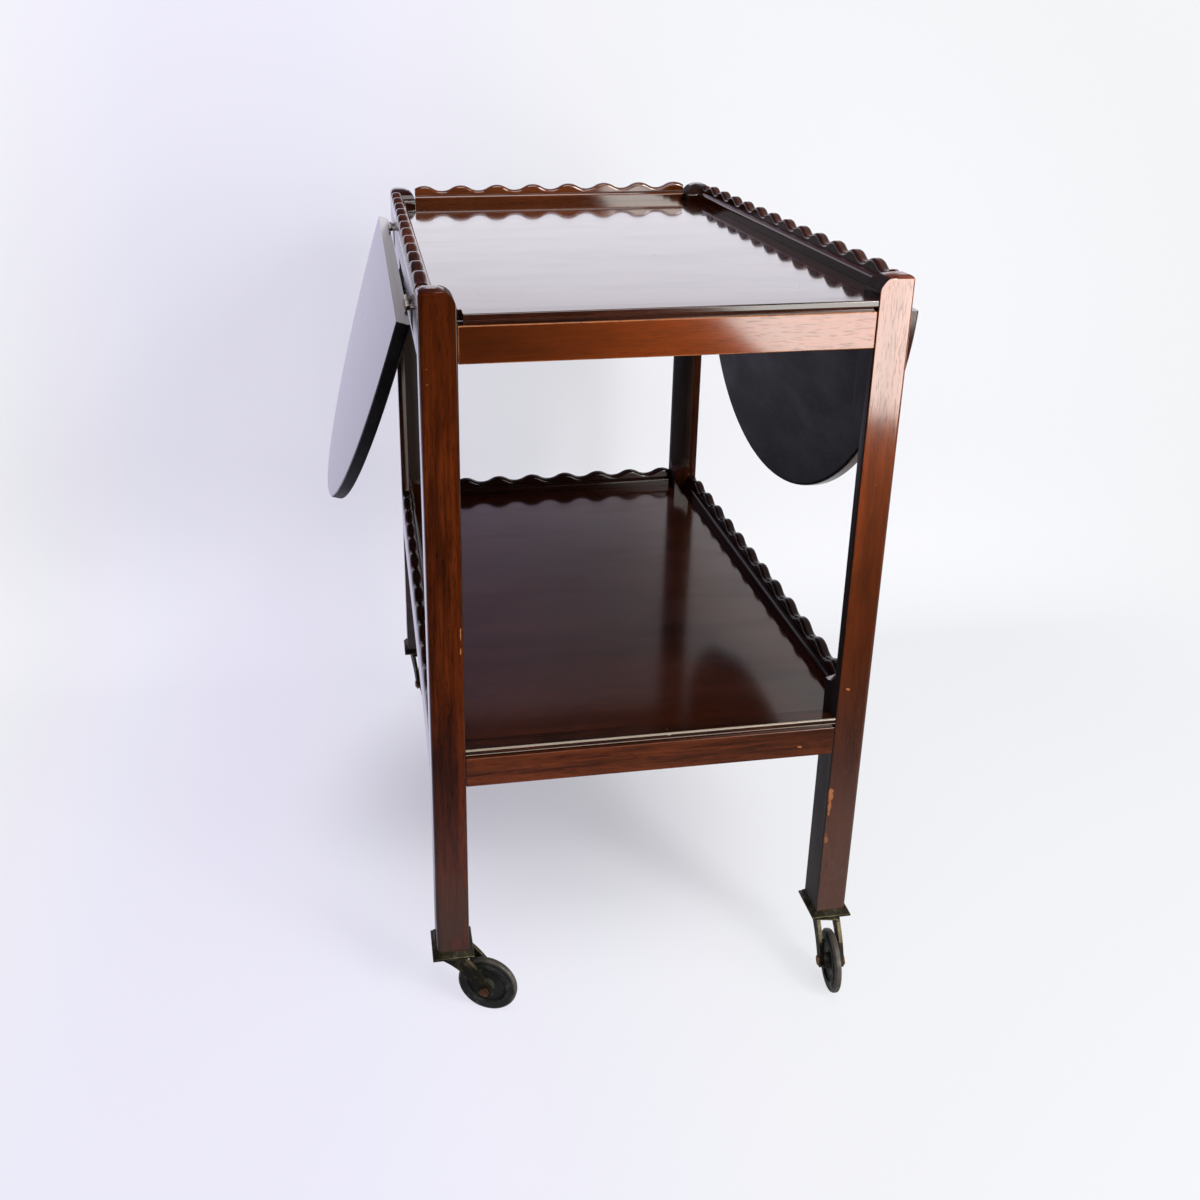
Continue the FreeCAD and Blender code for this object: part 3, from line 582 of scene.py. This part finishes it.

# Painted shade in part: darker than the right front leg.
left_leg_wood = polished_wood(
    "left_leg_wood", "z", LEFT_DARK, LEFT_WARM, seed=0.3, calm=0.12, sheen=0.25,
    fade=("z", 0.58, 0.76, 1.0, 0.55), dust=(0.08, 0.26), chips=LEFT_LEG_CHIPS,
)
# Painted light in part: lighter than the left front leg, and its fade, lighter towards the top,
# paints the softbox's light.
right_leg_wood = polished_wood(
    "right_leg_wood", "z", RIGHT_DARK, RIGHT_WARM, seed=0.5, calm=0.16, gloss=0.10,
    thick=2.05, sheen=0.85, fade=("z", 0.30, 0.60, 0.24, 0.80), dust=(0.08, 0.30),
    smears=0.12, open_pores=0.28, chips=RIGHT_LEG_CHIPS,
)
leg_outer_wood = polished_wood(
    "leg_outer_wood", "z", CROSS_DARK, CROSS_WARM, seed=0.7, calm=0.14, gloss=0.10,
    sheen=0.3, dust=(0.08, 0.26),
)
rear_leg_wood = polished_wood(
    "rear_leg_wood", "z", REAR_DARK, REAR_WARM, seed=0.7, calm=0.14, dust=(0.08, 0.26)
)
# Painted shade on the legs' inner sides; the grey towards their foot is partly dust and partly a
# painted reflection of the pale floor.
leg_inner_painted_shade = matt_dark_wood(
    "leg_inner_painted_shade", "z", LEG_INNER_SHADE_DARK, LEG_INNER_SHADE_WARM, seed=0.3, dust=(0.08, 0.42)
)
# The front apron's fade, darker to the left and lighter to the right, is painted light from the
# softbox on the right.
front_apron_wood = polished_wood(
    "front_apron_wood", "x", FRONT_DARK, FRONT_WARM, seed=0.9, calm=0.20, rub=0.55,
    gloss=0.09, thick=1.90, sheen=0.9, fade=("x", -0.16, 0.18, 0.27, 1.35),
    smears=0.12, open_pores=0.25,
)
cross_apron_wood = polished_wood(
    "cross_apron_wood", "x", CROSS_DARK, CROSS_WARM, seed=1.3, sheen=0.4,
    chips=SHELF_APRON_CHIPS,
)
side_apron_wood = polished_wood("side_apron_wood", "y", CROSS_DARK, CROSS_WARM, seed=1.7)
panel_wood = polished_wood(
    "panel_wood", "x", DEEP, RED, seed=2.3, calm=0.28, rub=0.1, gloss=0.06, thick=1.65,
    under=(0.06, 0.09), sheen=0.75, gleam=CLEAR, relief=0.03, smears=0.14,
)
shelf_panel_wood = polished_wood(
    "shelf_panel_wood", "x", DEEP, RED, seed=2.9, calm=0.28, rub=0.1, gloss=0.11, thick=1.65,
    under=(0.10, 0.16), sheen=0.75, gleam=CLEAR, relief=0.03, smears=0.28,
)
lip_wood = polished_wood(
    "lip_wood", "x", LIP_DARK, LIP_WARM, seed=3.1, rub=0.3, gloss=0.10, under=(0.10, 0.16),
    sheen=0.5, gleam=CLEAR, relief=0.05,
)
# The shelf nosing's broad pale top edge is partly wear and partly a painted highlight along its
# rounding.
worn_highlit_lip_wood = polished_wood(
    "worn_highlit_lip_wood", "x", LIP_DARK, LIP_WARM, seed=3.3, rub=0.75, gloss=0.10,
    under=(0.10, 0.16), sheen=0.5, gleam=CLEAR, relief=0.05, bare=LIP_BARE_AND_HIGHLIGHT,
    chips=SHELF_LIP_CHIPS,
)
left_gallery_wood = polished_wood(
    "left_gallery_wood", "y", CROSS_DARK, CROSS_WARM, seed=4.1, rub=0.05, gloss=0.08
)
right_gallery_wood = polished_wood(
    "right_gallery_wood", "y", DEEP, RED, seed=4.3, rub=0.05, gloss=0.08
)
ledge_wood = polished_wood("ledge_wood", "y", DEEP, RED, seed=4.4, rub=0.05, polish=0.25)
# Painted shade: the shelf's side galleries are darkened as under the tray.
shelf_side_wood = polished_wood(
    "shelf_side_wood", "y", SHADY_DARK, SHADY_WARM, seed=4.9, rub=0.05, polish=0.6
)
# The back gallery's fade lightens its crest above the ledge: painted light falling on its top.
back_gallery_wood = polished_wood(
    "back_gallery_wood", "x", CREST_DARK, CREST_WARM, seed=5.1, gloss=0.06, thick=1.80,
    sheen=0.5, fade=("z", 0.748, 0.762, 0.5, 1.0),
)
# Painted shade: the shelf's back gallery is darkened as under the tray.
low_gallery_wood = polished_wood(
    "low_gallery_wood", "x", SHADY_DARK, SHADY_WARM, seed=5.7, rub=0.1, polish=0.6
)
leaf_wood = polished_wood("leaf_wood", "y", DEEP, RED, seed=6.7, calm=0.2, rub=0.2, gloss=0.05)
leaf_edge_wood = polished_wood(
    "leaf_edge_wood", "y", DEEP, RED, seed=6.9, rub=0.1, gloss=0.2, under=(0.2, 0.25),
    sheen=0.5, gleam=CLEAR, relief=0.05,
)
leaf_rim_wood = polished_wood("leaf_rim_wood", "y", DEEP, RED, seed=7.1, gloss=0.2)
leaf_underside_black = matt_dark_wood(
    "leaf_underside_black", "y", LEAF_UNDER_DARK, LEAF_UNDER_WARM, seed=6.7
)
prop_wood = polished_wood("prop_wood", "z", DEEP, RED, seed=7.9, gloss=0.25)
hinge_brass = worked_metal(
    "hinge_brass", dull=(0.20, 0.165, 0.13, 1), bright=(0.50, 0.43, 0.34, 1), polish=0.06
)
screw_brass = worked_metal(
    "screw_brass", dull=(0.16, 0.13, 0.09, 1), bright=(0.45, 0.37, 0.25, 1), polish=0.0
)
caster_brass = worked_metal(
    "caster_brass", dull=(0.018, 0.016, 0.009, 1), bright=(0.115, 0.095, 0.048, 1),
    polish=-0.09, metallic=0.8,
)
axle_copper = worked_metal(
    "axle_copper", dull=(0.07, 0.03, 0.018, 1), bright=(0.32, 0.14, 0.07, 1), polish=0.0,
    metallic=0.9,
)
wheel_iron = worked_metal(
    "wheel_iron", dull=(0.011, 0.012, 0.010, 1), bright=(0.07, 0.066, 0.052, 1),
    polish=-0.1, metallic=0.35, relief=0.4,
)
wheel_tread = worked_metal(
    "wheel_tread", dull=(0.012, 0.0105, 0.008, 1), bright=(0.066, 0.056, 0.040, 1),
    polish=-0.02, metallic=0.0, relief=0.8,
)
rod_steel = worked_metal(
    "rod_steel", dull=(0.14, 0.13, 0.12, 1), bright=(0.40, 0.39, 0.37, 1), polish=0.0
)


# Pieces

WELD = 1e-6

# The ledge of a gallery: its rounding in the CAD and the bead that takes its place, the
# error allowed in finding the rounding, and how far past its ends that looks.
LEDGE_CUT = 0.0020
LEDGE_ROUND = 0.0050
LEDGE_SLACK = 0.02
LEDGE_END = -0.01


def fuller_ledge(node, axis, face_low):
    """Reshaping of a gallery that turns the small rounding of its ledge into a full bead.

    The ledge's face is at the low or the high end of the given axis."""
    low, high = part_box(node)
    across = "xyz".index(axis)

    def reshape(shape):
        def inset(vert):
            return vert.co[across] - low[across] if face_low else high[across] - vert.co[across]

        edge = max(vert.co.z for vert in shape.verts if inset(vert) < WELD)
        for vert in shape.verts:
            part = (LEDGE_CUT - inset(vert)) / LEDGE_CUT
            climb = (vert.co.z - edge) / LEDGE_CUT
            rounded = abs(math.hypot(part, climb) - 1) < LEDGE_SLACK
            if rounded and part > LEDGE_END and climb > LEDGE_END:
                step = LEDGE_ROUND * (1 - part)
                vert.co[across] = low[across] + step if face_low else high[across] - step
                vert.co.z = edge + LEDGE_CUT + LEDGE_ROUND * (climb - 1)

    return reshape


# The crown of a leg: its rounding, the error allowed in finding it, the share of the
# rounding's depth that is left on the outer face, and how soon that share is reached.
CROWN_ROUND = 0.0080
CROWN_SLACK = 1e-5
CROWN_DEPTH = 0.30
CROWN_HASTE = 2


def flatter_front(node, face_low):
    """Reshaping of a leg that keeps its outer face flat nearly to the top.

    The face then ends in an arch."""
    low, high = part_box(node)

    def reshape(shape):
        for vert in shape.verts:
            climb = (vert.co.z - (high.z - CROWN_ROUND)) / CROWN_ROUND
            inset = vert.co.y - low.y if face_low else high.y - vert.co.y
            if climb > 0 and inset < CROWN_ROUND + CROWN_SLACK:
                inset *= 1 - (1 - CROWN_DEPTH) * min(1, CROWN_HASTE * climb)
                vert.co.y = low.y + inset if face_low else high.y - inset

    return reshape


# Turns between faces: lying in one plane, sharp enough to be eased, and shaded as an edge.
FLAT_TURN = math.radians(0.4)
ARRIS_TURN = math.radians(60)
SHADED_TURN = math.radians(32)
# An edge that many times longer than its easing is eased, and a face this narrow is an arris.
ARRIS_LENGTH = 12
ARRIS_WIDTH = 0.0016


def dressed(node, finishes, choose=None, ease=0.0, reshape=None):
    """Welded copy of a CAD piece, with its arrises eased and marked, standing for that piece.

    Where there are several finishes, choose gives the number of the one for a face.
    reshape works on the copy."""
    shape = bmesh.new()
    shape.from_mesh(cad_nodes[node].data)
    bmesh.ops.remove_doubles(shape, verts=shape.verts, dist=WELD)
    if reshape:
        reshape(shape)
    bmesh.ops.dissolve_limit(
        shape, angle_limit=FLAT_TURN, verts=shape.verts, edges=shape.edges
    )
    if ease:
        arrises = [
            edge
            for edge in shape.edges
            if edge.calc_length() > ARRIS_LENGTH * ease and edge.calc_face_angle(0.0) > ARRIS_TURN
        ]
        bmesh.ops.bevel(
            shape, geom=arrises, offset=ease, offset_type="OFFSET", affect="EDGES",
            segments=2, profile=0.5, material=-1, clamp_overlap=True,
        )
    marked = shape.loops.layers.float.new("arris")
    for face in shape.faces:
        width = face.calc_area() / max(edge.calc_length() for edge in face.edges)
        for loop in face.loops:
            loop[marked] = 1.0 if width < ARRIS_WIDTH else 0.0
        if choose:
            face.material_index = choose(face)
    mesh = bpy.data.meshes.new(node + "_dressed")
    shape.to_mesh(mesh)
    shape.free()
    mesh.polygons.foreach_set("use_smooth", [True] * len(mesh.polygons))
    mesh.set_sharp_from_angle(angle=SHADED_TURN)
    for finish in finishes:
        mesh.materials.append(finish)
    piece = bpy.data.objects.new(node + "_dressed", mesh)
    scene.collection.objects.link(piece)
    weighted = piece.modifiers.new("flat_faces", "WEIGHTED_NORMAL")
    weighted.keep_sharp = True
    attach(piece, carriers[node])
    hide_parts(node)


# How far a face has to look one way, out of 1, to count as that side of a piece.
LEG_INNER = -0.5
LEG_OUTER = 0.7
LEAF_TOP = 0.85
LEAF_JOINT = 0.5
LEAF_UNDER = -0.5
LEDGE_LEVEL = 0.3
LEDGE_INNER = -0.9
# Share of a wheel's radius beyond which its face is the tread.
TREAD_START = 0.94


def outward(face):
    """How far a face looks away from the middle of the frame, to the left or right."""
    return face.normal.x * math.copysign(1, face.calc_center_median().x - middle.x)


def leg_side(face):
    """Finish of a leg's front, its side that looks inwards, or its outer side and back."""
    if outward(face) < LEG_INNER:
        return 1
    return 2 if outward(face) > LEG_OUTER or face.normal.y > LEG_OUTER else 0


def leaf_side(face):
    """Finish of a leaf's top, its joint edge, its underside or its rim."""
    if outward(face) > LEAF_TOP:
        return 0
    if face.normal.z > LEAF_JOINT:
        return 1
    return 2 if outward(face) < LEAF_UNDER else 3


def gallery_side(face):
    """Polish on a gallery's crest and rounding, duller polish on its upright inner face."""
    return 1 if abs(face.normal.z) < LEDGE_LEVEL and outward(face) < LEDGE_INNER else 0


def wheel_side(wheel):
    """Test for the tread of a wheel, which lies farthest from its middle."""
    low, high = (Vector(corner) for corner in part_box(wheel))
    hub = (low + high) / 2
    tread = TREAD_START * (high.z - low.z) / 2
    return lambda face: 1 if (face.calc_center_median() - hub).length > tread else 0


CORNERS = ("front_left", "front_right", "back_left", "back_right")
SIDES = ("left", "right")
leg_woods = {
    "front_left": (left_leg_wood, leg_inner_painted_shade, left_leg_wood),
    "front_right": (right_leg_wood, leg_inner_painted_shade, right_leg_wood),
    "back_left": (rear_leg_wood, leg_inner_painted_shade, leg_outer_wood),
    "back_right": (rear_leg_wood, leg_inner_painted_shade, leg_outer_wood),
}
for corner in CORNERS:
    leg = "leg_" + corner
    crown = flatter_front(leg, corner.startswith("front"))
    dressed(leg, leg_woods[corner], leg_side, reshape=crown)
    dressed("caster_plate_" + corner, (caster_brass,), ease=0.0005)
    dressed("caster_fork_" + corner, (caster_brass,), ease=0.0006)
    dressed("caster_axle_" + corner, (axle_copper,), ease=0.0003)
    wheel = "caster_wheel_" + corner
    dressed(wheel, (wheel_iron, wheel_tread), wheel_side(wheel))
dressed("caster_king_pins", (caster_brass,))
tier_woods = {
    "tray": {
        "panel": panel_wood,
        "nosing": lip_wood,
        "front": front_apron_wood,
        "back": back_gallery_wood,
        "left": left_gallery_wood,
        "right": right_gallery_wood,
    },
    "shelf": {
        "panel": shelf_panel_wood,
        "nosing": worn_highlit_lip_wood,
        "front": cross_apron_wood,
        "back": low_gallery_wood,
        "left": shelf_side_wood,
        "right": shelf_side_wood,
    },
}
for tier, woods in tier_woods.items():
    dressed(tier + "_panel", (woods["panel"],))
    dressed(tier + "_nosing", (woods["nosing"],))
    dressed(tier + "_apron_front", (woods["front"],), ease=0.0010)
    dressed(tier + "_apron_back", (cross_apron_wood,), ease=0.0010)
    gallery = tier + "_gallery_back"
    dressed(gallery, (woods["back"],), reshape=fuller_ledge(gallery, "y", True))
    for side in SIDES:
        dressed(tier + "_apron_" + side, (side_apron_wood,), ease=0.0008)
        gallery = tier + "_gallery_" + side
        ledge = fuller_ledge(gallery, "x", side == "right")
        dressed(gallery, (woods[side], ledge_wood), gallery_side, reshape=ledge)
leaf_rims = {"left": leaf_underside_black, "right": leaf_rim_wood}
for side in SIDES:
    leaf_woods = (leaf_wood, leaf_edge_wood, leaf_underside_black, leaf_rims[side])
    dressed("leaf_" + side, leaf_woods, leaf_side)
    dressed("prop_flap_" + side, (prop_wood,), ease=0.0006)
    dressed("prop_lugs_" + side, (prop_wood,), ease=0.0004)
    dressed("prop_rod_" + side, (rod_steel,))
    for fitting in ("frame_plates", "leaf_plates", "pins"):
        dressed("hinge_" + fitting + "_" + side, (hinge_brass,))
    for fitting in ("frame_screws", "leaf_screws"):
        dressed("hinge_" + fitting + "_" + side, (screw_brass,))


# Studio

BACKGROUND = (0.95, 0.955, 0.97, 1)

# The floor, and the sheet behind the trolley that sweeps up from it to a wall.
FLOOR_REACH = 60.0
FLOOR_SIDES = 96
WALL = 0.53
SWEEP = 0.16
SWEEP_STEPS = 24
SHEET_LAP = 0.05
SHEET_LIFT = 0.0004

# The paper's glow colour, by X: lavender on the left, painted shade where the trolley's shadow
# falls, and cool grey on the right.
PAPER_PAINTED_SHADE = (0.875, 0.86, 1.0, 1)
PAINTED_SHADE_REACH = (-0.95, -0.45)
PAPER_COOL = (0.90, 0.91, 0.93, 1)
COOL_REACH = (-0.4, 0.3)
# What polish mirrors of it: its shade on the left, and its glow by Y.
MIRRORED_LILAC = (0.82, 0.785, 1.0, 1)
MIRRORED_REACH = (-1.0, 0.4)
MIRRORED_GLOW = (0.01, 0.88)
# The greys that take the shadows, on the floor and on the wall, and the heights between them.
FLOOR_GREY = (0.84, 0.845, 0.865, 1)
WALL_GREY = (0.66, 0.665, 0.69, 1)
UPRIGHT_REACH = (0.0, 0.34)
# The paper's share of glow: under the trolley, on the wall, and full far away.
UNDER_SPOT = (-0.02, 0.03, 0.0)
UNDER_REACH = (0.08, 0.36)
UNDER_GLOW = (0.34, 0.79)
WALL_GLOW = 0.64
SHADOW_END = (0.75, 1.5)
SHADE_END = (1.0, 3.0)


def seen_rays(tree, path):
    """Rays of the camera, straight or through something clear."""
    return most(tree, path["Is Camera Ray"], path["Is Transmission Ray"])


def make_paper():
    """Pale paper that keeps the shadows and fades into the background far away.

    Its back isn't seen."""
    paper = bpy.data.materials.new("pale_paper")
    paper.use_nodes = True
    tree = paper.node_tree
    tree.nodes.clear()
    spot = place(tree, "TexCoord").outputs["Object"]
    axes = place(tree, "SeparateXYZ", {0: spot}).outputs
    away = vectors(tree, "LENGTH", spot)["Value"]
    cool = between(tree, axes[0], *COOL_REACH)
    # A lavender band left of the trolley is painted shade.
    painted_shade_band = between(tree, axes[0], *PAINTED_SHADE_REACH)
    shade = tint(tree, painted_shade_band, BACKGROUND, PAPER_PAINTED_SHADE)
    shade = tint(tree, cool, shade, PAPER_COOL)
    shade = tint(tree, between(tree, away, *SHADE_END), shade, BACKGROUND)
    path = place(tree, "LightPath").outputs
    glossy = path["Is Glossy Ray"]
    shade = tint(tree, glossy, shade, tint(tree, cool, MIRRORED_LILAC, shade))
    mirrored = between(tree, axes[1], *MIRRORED_REACH, *MIRRORED_GLOW)
    given = {"Color": shade, "Strength": mixed(tree, glossy, 1.0, mirrored)}
    glow = place(tree, "Emission", given)
    upright = between(tree, axes[2], *UPRIGHT_REACH)
    grey = tint(tree, upright, FLOOR_GREY, WALL_GREY)
    matt = place(tree, "BsdfDiffuse", {"Color": grey})
    under = vectors(tree, "DISTANCE", spot, UNDER_SPOT)["Value"]
    share = between(tree, under, *UNDER_REACH, *UNDER_GLOW)
    share = mixed(tree, upright, share, WALL_GLOW)
    share = mixed(tree, between(tree, away, *SHADOW_END), share, 1.0)
    share = most(tree, times(tree, seen_rays(tree, path), share), glossy)
    front = place(tree, "MixShader", {0: share, 1: matt.outputs[0], 2: glow.outputs[0]})
    back = place(tree, "BsdfTransparent")
    turned = place(tree, "NewGeometry").outputs["Backfacing"]
    whole = place(tree, "MixShader", {0: turned, 1: front.outputs[0], 2: back.outputs[0]})
    surface = place(tree, "OutputMaterial")
    tree.links.new(whole.outputs[0], surface.inputs["Surface"])
    return paper


def set_stage(name, shape, paper):
    mesh = bpy.data.meshes.new(name)
    shape.to_mesh(mesh)
    shape.free()
    mesh.polygons.foreach_set("use_smooth", [True] * len(mesh.polygons))
    mesh.materials.append(paper)
    sheet = bpy.data.objects.new(name, mesh)
    scene.collection.objects.link(sheet)
    return sheet


def lay_floor(paper):
    shape = bmesh.new()
    bmesh.ops.create_circle(shape, cap_ends=True, segments=FLOOR_SIDES, radius=FLOOR_REACH)
    set_stage("floor", shape, paper)


def hang_backdrop(paper):
    """Sheet that sweeps up from the floor behind the trolley.

    Only the camera sees it, with the shadow that it catches."""
    shape = bmesh.new()
    foot = WALL - SWEEP
    turns = [math.pi / 2 * step / SWEEP_STEPS for step in range(SWEEP_STEPS + 1)]
    profile = [(foot - SHEET_LAP, 0.0)]
    profile += [(foot + SWEEP * math.sin(turn), SWEEP * (1 - math.cos(turn))) for turn in turns]
    profile += [(WALL, SWEEP + SHEET_LAP), (WALL, FLOOR_REACH)]
    line = [shape.verts.new((FLOOR_REACH, y, z + SHEET_LIFT)) for y, z in profile]
    edges = [shape.edges.new(pair) for pair in zip(line, line[1:])]
    swept = bmesh.ops.extrude_edge_only(shape, edges=edges)["geom"]
    moved = [item for item in swept if isinstance(item, bmesh.types.BMVert)]
    bmesh.ops.translate(shape, verts=moved, vec=(-2 * FLOOR_REACH, 0, 0))
    shape.normal_update()
    wrong = [face for face in shape.faces if face.normal.z - face.normal.y < 0]
    bmesh.ops.reverse_faces(shape, faces=wrong)
    sheet = set_stage("backdrop", shape, paper)
    sheet.visible_diffuse = sheet.visible_glossy = sheet.visible_shadow = False


# The room by direction, each way from -1 to 1: what polish mirrors of it is dark in front,
# bright all round near the floor, and dimmer above that, least so on the right.
OPEN_REACH = (-0.55, 0.15)
OPEN_GLOW = (0.03, 1.0)
HIGH_REACH = (0.20, 0.42)
LOW_GLOW = 1.14
OVERHEAD_REACH = (0.20, 0.36)
OVERHEAD_GLOW = (0.175, 0.50)
TOP_REACH = (0.38, 0.52)
TOP_SHARES = (1.3, 0.85)
RIGHT_REACH = (0.0, 0.35)
LOW_TINT = (0.95, 0.92, 1.0, 1)
HIGH_LEFT_TINT = (0.92, 0.70, 1.0, 1)
HIGH_RIGHT_TINT = (1.0, 0.92, 0.92, 1)
# The even light on everything else.
EVEN_GLOW = 0.34
EVEN_TINT = (0.75, 0.71, 1.0, 1)


def light_room():
    """White surround for the camera and for polish, low and even light for everything else."""
    world = bpy.data.worlds.new("studio")
    scene.world = world
    world.use_nodes = True
    tree = world.node_tree
    tree.nodes.clear()
    direction = place(tree, "TexCoord").outputs["Generated"]
    axes = place(tree, "SeparateXYZ", {0: direction}).outputs
    path = place(tree, "LightPath").outputs
    glossy = path["Is Glossy Ray"]
    high = between(tree, axes[2], *HIGH_REACH)
    overhead = between(tree, axes[0], *OVERHEAD_REACH, *OVERHEAD_GLOW)
    overhead = times(tree, overhead, between(tree, axes[2], *TOP_REACH, *TOP_SHARES))
    mirror = mixed(tree, high, LOW_GLOW, overhead)
    mirror = times(tree, mirror, between(tree, axes[1], *OPEN_REACH, *OPEN_GLOW))
    seen = seen_rays(tree, path)
    strength = mixed(tree, glossy, EVEN_GLOW, mirror)
    strength = mixed(tree, seen, strength, 1.0)
    right = between(tree, axes[0], *RIGHT_REACH)
    mirrored = tint(tree, right, HIGH_LEFT_TINT, HIGH_RIGHT_TINT)
    mirrored = tint(tree, high, LOW_TINT, mirrored)
    shade = tint(tree, seen, EVEN_TINT, BACKGROUND)
    shade = tint(tree, glossy, shade, mirrored)
    glow = place(tree, "Background", {"Color": shade, "Strength": strength})
    surface = place(tree, "OutputWorld")
    tree.links.new(glow.outputs[0], surface.inputs["Surface"])


def hang_softbox(name, spot, aim, size, power, colour=(1, 1, 1), outline="RECTANGLE"):
    lamp = bpy.data.lights.new(name, "AREA")
    lamp.shape = outline
    lamp.size, lamp.size_y = size
    lamp.energy = power
    lamp.color = colour
    box = bpy.data.objects.new(name, lamp)
    scene.collection.objects.link(box)
    box.location = spot
    box.rotation_euler = (Vector(aim) - Vector(spot)).to_track_quat("-Z", "Y").to_euler()
    box.visible_camera = False


# The camera: its place from the middle of the frame, its turns in radians and its lens.
CAMERA_SPOT = Vector((-0.26420, -1.25497, 0.96891))
CAMERA_PAN = -0.1498
CAMERA_TILT = -0.3348
CAMERA_ROLL = -0.002
SENSOR_WIDTH = 36.0
FOCAL_LENGTH = 34.475
LENS_SHIFT = (0.0578, -0.1439)


def set_camera():
    """Camera at the photograph's place, with its lens and framing."""
    lens = bpy.data.cameras.new("camera")
    lens.sensor_width = SENSOR_WIDTH
    lens.lens = FOCAL_LENGTH
    lens.shift_x, lens.shift_y = LENS_SHIFT
    camera = bpy.data.objects.new("camera", lens)
    scene.collection.objects.link(camera)
    heading = Matrix.Rotation(CAMERA_PAN, 4, "Z") @ Matrix.Rotation(CAMERA_TILT, 4, "X")
    heading = heading @ Matrix.Rotation(CAMERA_ROLL, 4, "Y")
    spot = Matrix.Translation(middle + CAMERA_SPOT)
    camera.matrix_world = spot @ heading @ Matrix.Rotation(math.pi / 2, 4, "X")
    scene.camera = camera


paper = make_paper()
lay_floor(paper)
hang_backdrop(paper)
light_room()
hang_softbox(
    "front_right_softbox", spot=(1.59, -2.0, 0.92), aim=(0.1, 0.0, 1.5), size=(2.2, 2.36),
    power=71.0, colour=(1.0, 0.97, 0.92), outline="ELLIPSE",
)
hang_softbox("key_lamp", spot=(1.35, -1.9, 1.9), aim=(0.0, 0.0, 0.3), size=(0.6, 0.6), power=32.0)
hang_softbox(
    "overhead_softbox", spot=(0.15, -0.9, 2.5), aim=(0.1, 0.0, 0.3), size=(1.1, 1.1), power=15.0
)
set_camera()
